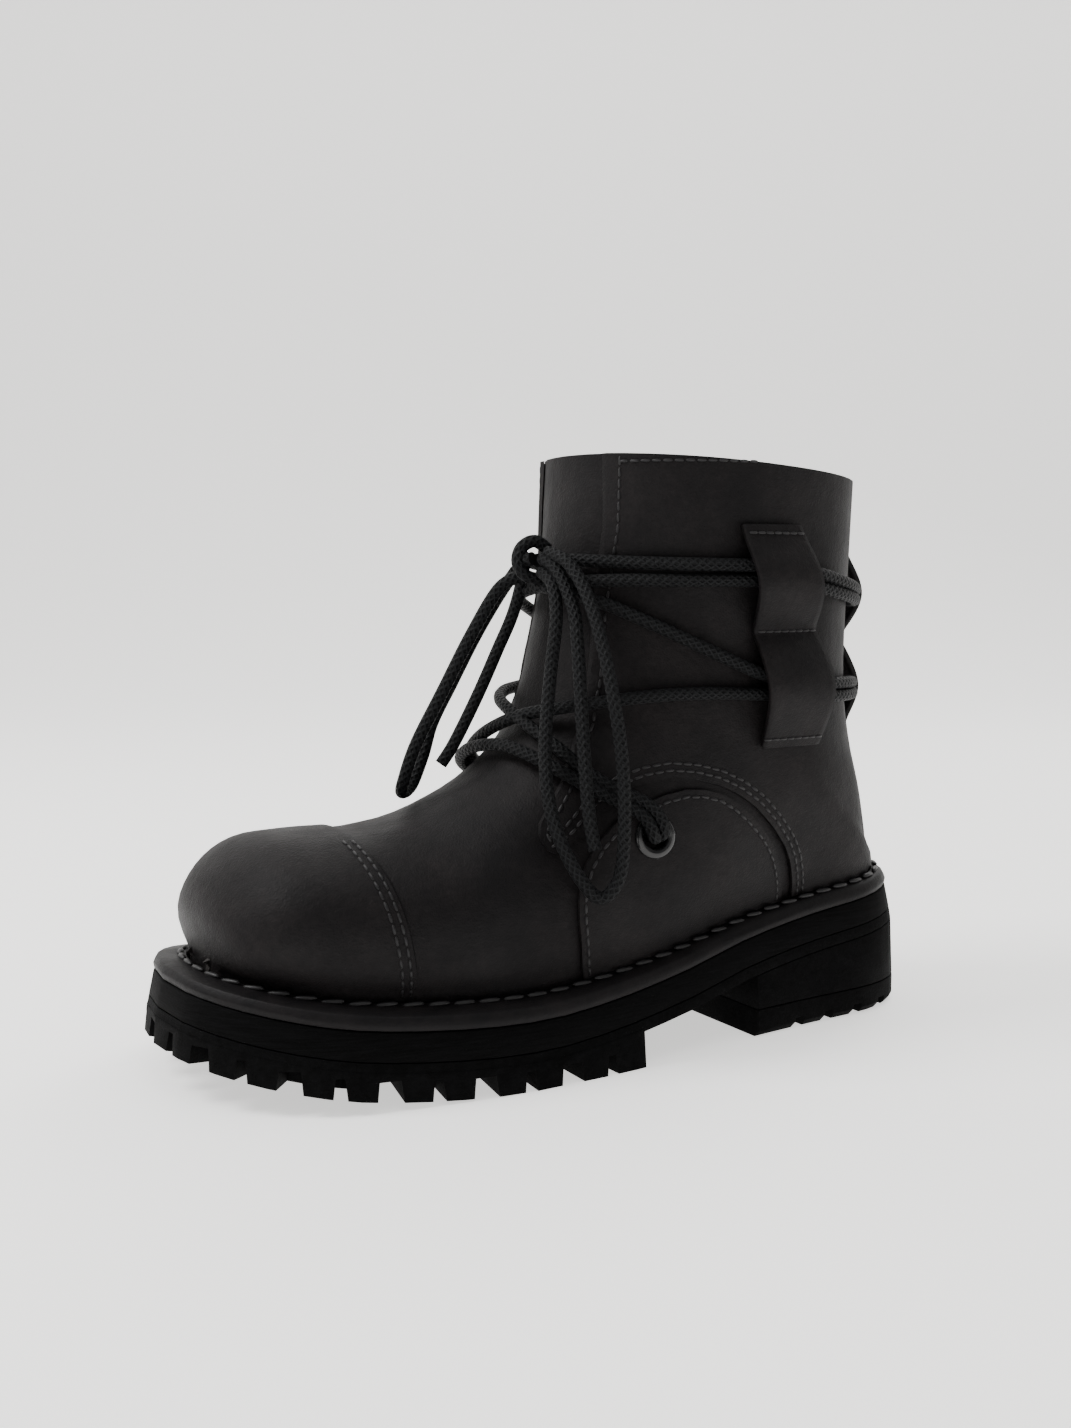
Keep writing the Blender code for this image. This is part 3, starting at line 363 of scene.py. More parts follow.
def row_at(rows, place):
    """The columns at a fractional row number, on a smooth curve through the rows."""
    last = len(rows) - 1
    place = min(max(place, 0.0), float(last))
    i = min(int(place), last - 1)
    t = place - i
    before, here, there, after = rows[max(i - 1, 0)], rows[i], rows[i + 1], rows[min(i + 2, last)]
    found = []
    for p0, p1, p2, p3 in zip(before, here, there, after):
        bend = 2 * p0 - 5 * p1 + 4 * p2 - p3
        twist = 3 * p1 - p0 - 3 * p2 + p3
        found.append(p1 + 0.5 * t * (p2 - p0 + t * (bend + t * twist)))
    return found


def slope_at(rows, k, c):
    """Slope of column c at row k, flat at the ends and where the column turns."""
    if k in (0, len(rows) - 1):
        return 0.0
    left = (rows[k][c] - rows[k - 1][c]) / (rows[k][0] - rows[k - 1][0])
    right = (rows[k + 1][c] - rows[k][c]) / (rows[k + 1][0] - rows[k][0])
    return 2 * left * right / (left + right) if left * right > 0 else 0.0


def along_table(rows, along):
    """The columns after the first, at a value of the first, on a curve that never overshoots."""
    if along <= rows[0][0]:
        return list(rows[0][1:])
    if along >= rows[-1][0]:
        return list(rows[-1][1:])
    i = max(k for k in range(len(rows) - 1) if rows[k][0] <= along)
    low, high = rows[i], rows[i + 1]
    width = high[0] - low[0]
    t = (along - low[0]) / width
    found = []
    for c in range(1, len(low)):
        m0 = slope_at(rows, i, c) * width
        m1 = slope_at(rows, i + 1, c) * width
        step = high[c] - low[c]
        bend = 3 * step - 2 * m0 - m1
        twist = m0 + m1 - 2 * step
        found.append(low[c] + t * (m0 + t * (bend + t * twist)))
    return found


def swing(x):
    """Sideways place of the sole's middle line."""
    return -TOE_SWING * along_table(SWING, x / SOLE_LENGTH)[0]


def spring(x):
    """Rise of the tread towards the toe."""
    over = min(max((x / SOLE_LENGTH - 0.62) / 0.38, 0.0), 1.0)
    return TOE_SPRING * over**2.2


def bed(x):
    """Rise of every sole layer above its height at the ball."""
    return spring(x) + HEEL_LIFT * along_table(BED_RISE, x / SOLE_LENGTH)[0]


MIDSOLE_BASE = LUG_DEPTH + OUTSOLE_BODY + GAP
WELT_BASE = MIDSOLE_BASE + MIDSOLE_DEPTH + GAP


def seat(x):
    """Height on which the welt, the insole and the upper's lower edge lie."""
    return bed(x) + WELT_BASE


def half_width(x, side):
    """Half width of the sole at the ground; side is 1 on the outer and -1 on the inner side."""
    outer_heel, outer_ball, inner_heel, inner_ball = along_table(OUTLINE, x / SOLE_LENGTH)
    heel, ball = (outer_heel, outer_ball) if side > 0 else (inner_heel, inner_ball)
    width = heel * HEEL_WIDTH / 2 + ball * BALL_WIDTH / 2
    if x < HEEL_ROUND:
        width *= (1 - (1 - x / HEEL_ROUND) ** HEEL_POWER) ** (1 / HEEL_POWER)
    over = (x - (SOLE_LENGTH - TOE_ROUND)) / TOE_ROUND
    if over > 0:
        width *= max(1 - over**TOE_POWER, 0.0) ** (1 / TOE_POWER)
    return width


def edge_line(side, inset, first, last):
    """Edge of one side in plan, from first to last in x, moved in by inset(x)."""
    xs = [SOLE_LENGTH * (0.5 - 0.5 * cos(pi * i / (STATIONS - 1))) for i in range(STATIONS)]
    xs = [first] + [x for x in xs if first + 0.0015 < x < last - 0.0015] + [last]
    if first == 0:
        xs[0] = 0.0
    line = []
    for x in xs:
        y = side * half_width(x, side)
        step = 0.0001
        if x <= step or x >= SOLE_LENGTH - step:
            inward = Vector((1.0 if x <= step else -1.0, 0.0))
            y = 0.0
        else:
            low, high = max(x - step, 0.0), min(x + step, SOLE_LENGTH)
            run = Vector((high - low, side * (half_width(high, side) - half_width(low, side))))
            run.y += swing(high) - swing(low)
            inward = Vector((run.y, -run.x)).normalized() * side
        line.append(Vector((x, swing(x) + y)) + inward * inset(x))
    return line


def loop(inset, first=0.0, last=SOLE_LENGTH):
    """Edge in plan as (outer side, inner side), each from heel to toe."""
    return edge_line(1, inset, first, last), edge_line(-1, inset, first, last)


def welt_inset(x):
    """From the ground outline to the upper's foot."""
    share = min(max((x / SOLE_LENGTH - 0.12) / 0.66, 0.0), 1.0)
    width = WELT_AT_HEEL + (WELT_AT_TOE - WELT_AT_HEEL) * share * share * (3 - 2 * share)
    return FLARE + width


FOOT_LINES = {side: edge_line(side, welt_inset, 0.0, SOLE_LENGTH) for side in (1, -1)}
HEEL_POINT = FOOT_LINES[1][0].x
TOE_POINT = FOOT_LINES[1][-1].x


def foot_half(x, side):
    """Half width of the upper's foot at x."""
    line = FOOT_LINES[side]
    if x <= line[0].x or x >= line[-1].x:
        return 0.0
    i = max(k for k in range(len(line) - 1) if line[k].x <= x)
    share = (x - line[i].x) / (line[i + 1].x - line[i].x)
    y = line[i].y + share * (line[i + 1].y - line[i].y)
    return max(side * (y - swing(x)), 0.0)


@lru_cache(maxsize=None)
def section(place):
    """Base, top, widest half width, its place and the power of a section, place 0 to the last."""
    along, lean, rise, back, up, ball, collar, widest, power = row_at(SECTIONS, place)
    if place > HEEL_SECTION - 1:
        along = SECTIONS[HEEL_SECTION - 1][0] * max(HEEL_SECTION - place, 0.0)
    x = HEEL_POINT + along * (TOE_POINT - HEEL_POINT)
    shaft = BOOT_HEIGHT - seat(HEEL_POINT)
    base = Vector((x + max(lean, 0.0) * SOLE_LENGTH, seat(x) + RIM_RISE + max(rise, 0.0) * shaft))
    top = Vector((TOE_POINT - back * SOLE_LENGTH, 0.0))
    top.y = seat(TOE_POINT) + up * (BOOT_HEIGHT - seat(TOE_POINT))
    return base, top, ball * BALL_WIDTH / 2 + collar * COLLAR_WIDTH / 2, widest, power


@lru_cache(maxsize=None)
def grip(place):
    """Share of a section's line up to which the welt holds the upper."""
    base, top, *_ = section(place)
    if place >= HEEL_SECTION + 1:
        return 0.0
    low, high = 0.0, 1.0
    for _ in range(24):
        a = (low + high) / 2
        spot = base.lerp(top, a)
        if spot.y < seat(spot.x) + HOLD:
            low = a
        else:
            high = a
    return low


def width_at(place, a, side):
    """Half width of the upper at share a of a section's line."""
    base, top, wide, widest, power = section(place)
    held = grip(place)
    widest = max(widest, held + EASE * (1 - held))
    foot = foot_half(base.lerp(top, min(a, held)).x, side) if held else 0.0
    if a <= held:
        return 0.0 if a == 0 and place >= HEEL_SECTION else foot
    wide = max(wide, foot)
    if a >= widest:
        return wide * max(1 - ((a - widest) / (1 - widest)) ** power, 0.0) ** (1 / power)
    closed = 1 - (foot / wide) ** power
    return wide * (1 - closed * ((widest - a) / (widest - held)) ** power) ** (1 / power)


def half_section(place, side, steps):
    """Points of one side of a section, from its base to its top.

    The first step is the stretch that the welt holds, and the others are even along the curve.
    """
    base, top, *_ = section(place)
    held = grip(place)
    shares = [held * i / 4 for i in range(4)] if held else []
    shares += [held + (1 - held) * i / SECTION_STEPS for i in range(SECTION_STEPS + 1)]
    fine = []
    for a in shares:
        spot = base.lerp(top, a)
        width = width_at(place, a, side)
        fine.append(Vector((spot.x, swing(spot.x) + side * width, spot.y)))
    runs = [0.0]
    for p, q in zip(fine, fine[1:]):
        runs.append(runs[-1] + (q - p).length)
    first = min(runs[4] if held else HOLD, 0.3 * runs[-1])
    wanted = [0.0] + [first + (runs[-1] - first) * j / (steps - 1) for j in range(steps)]
    found = []
    k = 0
    for want in wanted:
        while k < len(runs) - 2 and runs[k + 1] < want:
            k += 1
        share = (want - runs[k]) / max(runs[k + 1] - runs[k], 1e-9)
        found.append(fine[k].lerp(fine[k + 1], min(share, 1.0)))
    return found


def raised(p, place):
    """Point of the toe cap, which steps out of the wall above the welt."""
    base, top, *_ = section(place)
    heart = base.lerp(top, 0.4)
    out = (p - Vector((heart.x, swing(heart.x), heart.y))).normalized()
    share = min(max((p.z - seat(p.x) - HOLD) / HOLD, 0.0), 1.0)
    return p + out * LAYER * share


def curve(rows, steps):
    """Points on the smooth curve through the rows of a table."""
    count = steps * (len(rows) - 1)
    return [row_at(rows, i / steps) for i in range(count + 1)]


def edge_curve(rows):
    """Overlay edge in side view, from shares of the sole's length and the boot's height."""
    found = []
    for along, up in curve(rows, 2):
        x = along * SOLE_LENGTH
        found.append((x, max(up * BOOT_HEIGHT, clear_of_welt(x))))
    return found


def clear_of_welt(x):
    """Height just above the welt's inner edge."""
    return seat(x) + WELT_EDGE + WELT_CROWN + GAP


def welt_line(first, last, steps):
    """Places just above the welt's inner edge in side view."""
    xs = [first + (last - first) * i / steps for i in range(steps + 1)]
    return [(x, clear_of_welt(x)) for x in xs]


def turn_of(line, x, z):
    """Which side of a section's line a point in side view is on, by its sign."""
    base, top = line
    return (top.x - base.x) * (z - base.y) - (top.y - base.y) * (x - base.x)


SECTION_LINES = [section(k / 4)[:2] for k in range(4 * len(SECTIONS) - 3)]


def half_width_at(x, z, side):
    """Half width of the upper at a point in side view, none outside it."""
    before = None
    for k, line in enumerate(SECTION_LINES):
        place = k / 4
        ahead = turn_of(line, x, z)
        if before is not None and before * ahead <= 0:
            low, high = place - 0.25, place
            for _ in range(12):
                mid = (low + high) / 2
                if turn_of(section(mid)[:2], x, z) * before > 0:
                    low = mid
                else:
                    high = mid
            base, top, *_ = section(low)
            run = top - base
            a = (Vector((x, z)) - base).dot(run) / run.length_squared
            if 0 <= a <= 1:
                return width_at(low, a, side)
        before = ahead
    return 0.0


def ring_point(turn, z):
    """Point of the upper's outer face at a height, at a turn in degrees from the front."""
    way = Vector((cos(radians(turn)), sin(radians(turn))))
    low, high = 0.0, SOLE_LENGTH / 2
    for _ in range(13):
        r = (low + high) / 2
        x = RING_CENTRE + way.x * r
        y = way.y * r - swing(x)
        if abs(y) < half_width_at(x, z, 1 if y >= 0 else -1):
            low = r
        else:
            high = r
    return Vector((RING_CENTRE + way.x * low, way.y * low, z))


def on_ring(turn, z, lift):
    """Point off the upper's outer face, at a height and a turn in degrees from the front."""
    p = ring_point(turn, z)
    around = ring_point(turn + 3, z) - p
    along = ring_point(turn, z + 0.003) - p
    return p + around.cross(along).normalized() * lift


def turn_at(x, z, side):
    """Turn from the front, in degrees, of a point given in side view."""
    y = swing(x) + side * half_width_at(x, z, side)
    return degrees(atan2(y, x - RING_CENTRE))


def even(points, step):
    """Points at even steps along a fine line."""
    runs = [0.0]
    for p, q in zip(points, points[1:]):
        runs.append(runs[-1] + (q - p).length)
    count = max(round(runs[-1] / step), 2)
    found, k = [], 0
    for i in range(count + 1):
        want = runs[-1] * i / count
        while k < len(runs) - 2 and runs[k + 1] < want:
            k += 1
        share = (want - runs[k]) / max(runs[k + 1] - runs[k], 1e-9)
        found.append(points[k].lerp(points[k + 1], min(share, 1.0)))
    return found


# From the heel's back and the sole's middle line to the CAD's origin
SHIFT = Vector((-SOLE_LENGTH / 2, 0.0104957, 0.0))

# Creases of the leather in side view, as troughs between two points; a ridge has a negative depth
# first along, first up, second along, second up, half width, depth
CREASES = (
    (0.545, 0.515, 0.475, 0.430, 0.0050, 0.0014),
    (0.575, 0.470, 0.530, 0.395, 0.0045, -0.0006),
    (0.610, 0.425, 0.575, 0.330, 0.0055, 0.0012),
    (0.500, 0.610, 0.440, 0.560, 0.0055, 0.0010),
    (0.700, 0.385, 0.690, 0.250, 0.0075, 0.0009),
    (0.735, 0.375, 0.735, 0.270, 0.0060, -0.0004),
    (0.395, 0.560, 0.330, 0.500, 0.0080, 0.0009),
    (0.230, 0.420, 0.130, 0.330, 0.0090, 0.0009),
    (0.200, 0.520, 0.110, 0.470, 0.0090, 0.0008),
    (0.300, 0.800, 0.180, 0.700, 0.0120, 0.0006),
)

# Starts of the bow's ends, from inside the knot
# along, across, up
BOW_START_OUTER = ((0.5440, 0.0500, 0.8260), (0.5420, 0.1300, 0.8050))
BOW_START_INNER = ((0.5500, -0.0300, 0.8200), (0.5420, -0.0850, 0.7800))

# Turn of lace that holds the bow, round the strands of the knot
# along, across, up
BOW_WRAP = (
    (0.5250, 0.0050, 0.8420),
    (0.5420, -0.0020, 0.8560),
    (0.5600, -0.0060, 0.8440),
    (0.5660, -0.0020, 0.8200),
    (0.5580, 0.0080, 0.7990),
    (0.5400, 0.0180, 0.7930),
    (0.5240, 0.0240, 0.8080),
)

FINE_POINTS = 24  # steps on each side of a section of the shown upper


def shifted(p):
    return Vector((p[0], p[1], p[2])) + SHIFT


def mesh_object(name, vertices, faces, materials=(), smooth=True):
    """Object of a mesh, with its doubled points made one."""
    mesh = bpy.data.meshes.new(name)
    mesh.from_pydata([tuple(v) for v in vertices], [], faces)
    work = bmesh.new()
    work.from_mesh(mesh)
    bmesh.ops.remove_doubles(work, verts=work.verts, dist=0.00001)
    work.to_mesh(mesh)
    work.free()
    for material in materials:
        mesh.materials.append(material)
    piece = bpy.data.objects.new(name, mesh)
    bpy.context.scene.collection.objects.link(piece)
    if smooth:
        mesh.shade_smooth()
        mesh.set_sharp_from_angle(angle=0.7)
    return piece


def settle(piece):
    """The piece's modifiers made part of its mesh."""
    graph = bpy.context.evaluated_depsgraph_get()
    mesh = bpy.data.meshes.new_from_object(piece.evaluated_get(graph))
    piece.modifiers.clear()
    piece.data = mesh
    return piece


def fit(piece, slot, *nodes):
    """The piece rides with the boot and stands for CAD nodes, which it hides. Its slot is not used."""
    work = bmesh.new()
    work.from_mesh(piece.data)
    if work.calc_volume(signed=True) < 0:
        bmesh.ops.reverse_faces(work, faces=work.faces)
        work.to_mesh(piece.data)
        print("faces turned outwards:", piece.name)
    work.free()
    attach(piece, "root")
    if nodes:
        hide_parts(*nodes)
    return piece


def creased(p, out):
    """Point of the upper moved in or out by the creases."""
    x, z = p.x / SOLE_LENGTH, p.z / BOOT_HEIGHT
    move = 0.0
    for x0, z0, x1, z1, half, depth in CREASES:
        ax, az = x0 * SOLE_LENGTH, z0 * BOOT_HEIGHT
        dx, dz = x1 * SOLE_LENGTH - ax, z1 * BOOT_HEIGHT - az
        t = ((p.x - ax) * dx + (p.z - az) * dz) / (dx * dx + dz * dz)
        near = min(max(t, 0.0), 1.0)
        off = hypot(p.x - ax - near * dx, p.z - az - near * dz)
        ends = 0.35 + 0.65 * sin(pi * near) if 0 < near < 1 else 0.35
        move -= 0.65 * depth * ends * exp(-((off / half) ** 2))
    return p + out * move


_grid = []


def fine_grid():
    """Vertices and faces of the upper's outer face with its creases, worked out once."""
    if _grid:
        return _grid[0]
    places = [0.25 * i for i in range(1, 23)] + [CAP_EDGE - CAP_STEP, CAP_EDGE]
    places += [CAP_EDGE + (13.0 - CAP_EDGE) * i / 24 for i in range(1, 25)]
    places += [13.2, 13.4, 13.6, 13.8, 14.0, 14.15, 14.3, 14.45, 14.6, 14.7, 14.8, 14.9, 15.0]
    places += [15.0 + 0.35 * i for i in range(1, 20)] + [22.0]
    tip = Vector((TOE_POINT, swing(TOE_POINT), seat(TOE_POINT) + RIM_RISE))
    rows = [[tip] * (2 * FINE_POINTS + 1)]
    for place in [0.0] + places:
        outer = half_section(place, 1, FINE_POINTS)
        inner = half_section(place, -1, FINE_POINTS)
        row = outer + inner[-2::-1]
        rows.append([raised(p, place) for p in row] if place < CAP_EDGE else row)
    width = len(rows[0])
    moved = []
    for r, row in enumerate(rows):
        before, after = rows[max(r - 1, 0)], rows[min(r + 1, len(rows) - 1)]
        for c, p in enumerate(row):
            along = after[c] - before[c]
            across = row[min(c + 1, width - 1)] - row[max(c - 1, 0)]
            out = across.cross(along)
            out = -out.normalized() if out.length > 1e-9 else Vector((0, 0, 0))
            if r < 3 or p.z < seat(p.x) + HOLD:
                out = Vector((0, 0, 0))
            heart = Vector((p.x, swing(p.x), 0.0))
            side = Vector((0.0, p.y - heart.y, 0.0))
            if out.dot(side) < 0:
                out = -out
            moved.append(creased(p, out) + SHIFT)
    faces = []
    half = FINE_POINTS
    for r in range(len(rows) - 1):
        for c in range(width - 1):
            i = r * width + c
            far = i + width
            if c < half:
                faces += [(i, far, far + 1), (i, far + 1, i + 1)]
            else:
                faces += [(i, far, i + 1), (far, far + 1, i + 1)]
    _grid.append((moved, faces))
    return _grid[0]


def side_prism(name, outline, low, high):
    """Cutter with an outline in side view, between two places across."""
    count = len(outline)
    vertices = [shifted((x, low, z)) for x, z in outline] + [shifted((x, high, z)) for x, z in outline]
    faces = [tuple(range(count)), tuple(range(2 * count - 1, count - 1, -1))]
    faces += [(i, count + i, count + (i + 1) % count, (i + 1) % count) for i in range(count)]
    piece = mesh_object(name, vertices, faces, smooth=False)
    work = bmesh.new()
    work.from_mesh(piece.data)
    bmesh.ops.recalc_face_normals(work, faces=work.faces)
    work.to_mesh(piece.data)
    work.free()
    return piece


def cut(piece, tool, operation):
    """Boolean of a tool, which is removed afterwards."""
    change = piece.modifiers.new("cut", "BOOLEAN")
    change.operation = operation
    change.object = tool
    change.solver = "EXACT"
    settle(piece)
    bpy.data.objects.remove(tool, do_unlink=True)
    return piece


def wall_on(piece, thickness, side, inner=0):
    wall = piece.modifiers.new("wall", "SOLIDIFY")
    wall.thickness = thickness
    wall.offset = side
    wall.material_offset = inner
    return settle(piece)


def overlay(name, outline, low, high, node, materials):
    """Leather layer on the upper, cut from a larger shell of the upper's own form."""
    piece = mesh_object(name, *fine_grid(), materials)
    lift = piece.modifiers.new("lift", "DISPLACE")
    lift.strength = OVERLAY_GAP
    lift.mid_level = 0.0
    settle(piece)
    wall_on(piece, LAYER, 1.0)
    cut(piece, side_prism(name + "_outline", outline, low, high), "INTERSECT")
    piece.data.shade_smooth()
    piece.data.set_sharp_from_angle(angle=0.7)
    return fit(piece, "oiled_nubuck", node)


def eyelet_pose(side):
    """Place and direction of an eyelet on the wing."""
    z = EYELET_UP * BOOT_HEIGHT
    turn = turn_at(EYELET_ALONG * SOLE_LENGTH, z, side)
    face = on_ring(turn, z, 0.0)
    out = (on_ring(turn, z, WALL) - face).normalized()
    return Matrix.Translation(face + SHIFT) @ Vector((0, 0, 1)).rotation_difference(out).to_matrix().to_4x4()


def bore(pose):
    """Cutter of an eyelet's hole."""
    work = bmesh.new()
    bmesh.ops.create_cone(
        work, cap_ends=True, segments=40, radius1=EYELET_BARREL / 2, radius2=EYELET_BARREL / 2, depth=8 * WALL, matrix=pose
    )
    mesh = bpy.data.meshes.new("hole")
    work.to_mesh(mesh)
    work.free()
    piece = bpy.data.objects.new("hole", mesh)
    bpy.context.scene.collection.objects.link(piece)
    return piece


def tube(name, points, radius, material, sides=14, taper=True):
    """Round lace along points, with a UV map in metres: round it and along it."""
    points = [Vector(p) for p in points]
    vertices, faces, uvs = [], [], []
    normal = None
    run = 0.0
    rings = []
    for i, p in enumerate(points):
        ahead = (points[min(i + 1, len(points) - 1)] - points[max(i - 1, 0)]).normalized()
        if normal is None:
            normal = ahead.orthogonal().normalized()
        normal = (normal - ahead * normal.dot(ahead)).normalized()
        other = ahead.cross(normal)
        if i:
            run += (p - points[i - 1]).length
        rings.append(run)
        for k in range(sides):
            a = 2 * pi * k / sides
            vertices.append(p + (normal * cos(a) + other * sin(a)) * radius)
    count = len(points)
    for i in range(count - 1):
        for k in range(sides):
            j = (k + 1) % sides
            faces.append((i * sides + k, i * sides + j, (i + 1) * sides + j, (i + 1) * sides + k))
            u0, u1 = k / sides, (k + 1) / sides
            uvs.append(((u0, rings[i]), (u1, rings[i]), (u1, rings[i + 1]), (u0, rings[i + 1])))
    for i, order in ((0, -1), (count - 1, 1)):
        face = tuple(i * sides + k for k in range(sides))[::order]
        faces.append(face)
        uvs.append(tuple((0.5, rings[i]) for _ in face))
    mesh = bpy.data.meshes.new(name)
    mesh.from_pydata([tuple(v) for v in vertices], [], faces)
    layer = mesh.uv_layers.new(name="along")
    k = 0
    for face in uvs:
        for uv in face:
            layer.data[k].uv = uv
            k += 1
    mesh.materials.append(material)
    piece = bpy.data.objects.new(name, mesh)
    bpy.context.scene.collection.objects.link(piece)
    mesh.shade_smooth()
    mesh.set_sharp_from_angle(angle=1.0)
    return piece


def smooth_line(rows, steps, step):
    fine = [
        Vector((along * SOLE_LENGTH, across * BALL_WIDTH, up * BOOT_HEIGHT)) + SHIFT
        for along, across, up in curve(rows, steps)
    ]
    return even(fine, step)


def capsules(name, spots, length, width, height, material):
    """Stitches: each spot has its place, its direction and the way out of the surface."""
    vertices, faces = [], []
    sides = 6
    profile = ((-0.5, 0.35), (-0.36, 0.85), (0.0, 1.0), (0.36, 0.85), (0.5, 0.35))
    for place, along, out in spots:
        along = (along - out * along.dot(out)).normalized()
        across = out.cross(along)
        base = len(vertices)
        for share, full in profile:
            for k in range(sides):
                a = 2 * pi * k / sides
                vertices.append(
                    place + along * share * length + across * cos(a) * full * width / 2 + out * sin(a) * full * height / 2
                )
        last = len(profile) - 1
        for r in range(last):
            for k in range(sides):
                j = (k + 1) % sides
                a, b = base + r * sides, base + (r + 1) * sides
                faces.append((a + k, a + j, b + j, b + k))
        faces.append(tuple(base + k for k in range(sides))[::-1])
        faces.append(tuple(base + last * sides + k for k in range(sides)))
    mesh = bpy.data.meshes.new(name)
    mesh.from_pydata([tuple(v) for v in vertices], [], faces)
    mesh.materials.append(material)
    mesh.shade_smooth()
    piece = bpy.data.objects.new(name, mesh)
    bpy.context.scene.collection.objects.link(piece)
    return piece


def side_seam(piece, outline, side, pitch, lift=0.0):
    """Stitch places on a piece's outer face, along a line in side view."""
    tree = BVHTree.FromObject(piece, bpy.context.evaluated_depsgraph_get())
    found = []
    for x, z in outline:
        start = Vector((x, side * BALL_WIDTH, z)) + SHIFT
        place, normal, _, _ = tree.ray_cast(start, Vector((0.0, -side, 0.0)))
        if place is not None:
            found.append((place, normal))
    spots = []
    run, want = 0.0, pitch / 2
    for (p, n), (q, m) in zip(found, found[1:]):
        step = (q - p).length
        if step > 0.02 or step < 1e-7:
            run += step
            want = max(want, run)
            continue
        while want < run + step:
            t = (want - run) / step
            out = n.lerp(m, t).normalized()
            spots.append((p.lerp(q, t) + out * lift, (q - p).normalized(), out))
            want += pitch
        run += step
    return spots


def offset_line(line, gap):
    """Line in side view moved to its left by a gap, at even fine steps."""
    fine = even([Vector((x, 0.0, z)) for x, z in line], 0.0012)
    found = []
    for i, p in enumerate(fine):
        ahead = (fine[min(i + 1, len(fine) - 1)] - fine[max(i - 1, 0)]).normalized()
        found.append((p.x - ahead.z * gap, p.z + ahead.x * gap))
    return found


def srgb(text):
    """Linear colour of a hex sRGB colour."""
    parts = [int(text[i : i + 2], 16) / 255 for i in (1, 3, 5)]
    return tuple(c / 12.92 if c <= 0.04045 else ((c + 0.055) / 1.055) ** 2.4 for c in parts) + (1.0,)


class Finish:
    """Node material with a Principled shader, built up one layer at a time."""

    def __init__(self, name, colour, roughness, coat=0.0, metallic=0.0, specular=0.5):
        self.material = bpy.data.materials.new(name)
        self.material.use_nodes = True
        self.tree = self.material.node_tree
        self.shader = self.tree.nodes["Principled BSDF"]
        self.shader.inputs["Base Color"].default_value = colour
        self.shader.inputs["Roughness"].default_value = roughness
        self.shader.inputs["Coat Weight"].default_value = coat
        self.shader.inputs["Metallic"].default_value = metallic
        self.shader.inputs["Specular IOR Level"].default_value = specular
        self.place = self.tree.nodes.new("ShaderNodeTexCoord")
        self.normal = None

    def link(self, a, b):
        self.tree.links.new(a, b)

    def noise(self, scale, detail=4.0, rough=0.55, stretch=None):
        node = self.tree.nodes.new("ShaderNodeTexNoise")
        node.inputs["Scale"].default_value = scale
        node.inputs["Detail"].default_value = detail
        node.inputs["Roughness"].default_value = rough
        source = self.place.outputs["Object"]
        if stretch:
            turn = self.tree.nodes.new("ShaderNodeMapping")
            turn.inputs["Scale"].default_value = stretch
            self.link(source, turn.inputs["Vector"])
            source = turn.outputs["Vector"]
        self.link(source, node.inputs["Vector"])
        return node.outputs["Fac"]

    def cells(self, scale):
        node = self.tree.nodes.new("ShaderNodeTexVoronoi")
        node.inputs["Scale"].default_value = scale
        self.link(self.place.outputs["Object"], node.inputs["Vector"])
        return node.outputs["Distance"]

    def spread(self, value, low, high, first=0.3, last=0.7):
        node = self.tree.nodes.new("ShaderNodeMapRange")
        node.inputs["From Min"].default_value = first
        node.inputs["From Max"].default_value = last
        node.inputs["To Min"].default_value = low
        node.inputs["To Max"].default_value = high
        self.link(value, node.inputs["Value"])
        return node.outputs["Result"]

    def tint(self, value, other, strength=1.0):
        """Second colour mixed in by a value from 0 to 1."""
        mix = self.tree.nodes.new("ShaderNodeMix")
        mix.data_type = "RGBA"
        socket = self.shader.inputs["Base Color"]
        if socket.is_linked:
            self.link(socket.links[0].from_socket, mix.inputs[6])
        else:
            mix.inputs[6].default_value = socket.default_value
        mix.inputs[7].default_value = other
        scale = self.spread(value, 0.0, strength, 0.35, 0.75)
        self.link(scale, mix.inputs[0])
        self.link(mix.outputs[2], socket)

    def rough(self, value, low, high):
        self.link(self.spread(value, low, high), self.shader.inputs["Roughness"])

    def bump(self, value, height, strength=1.0):
        node = self.tree.nodes.new("ShaderNodeBump")
        node.inputs["Distance"].default_value = height
        node.inputs["Strength"].default_value = strength
        self.link(value, node.inputs["Height"])
        if self.normal:
            self.link(self.normal, node.inputs["Normal"])
        self.normal = node.outputs["Normal"]
        self.link(self.normal, self.shader.inputs["Normal"])


_finishes = {}


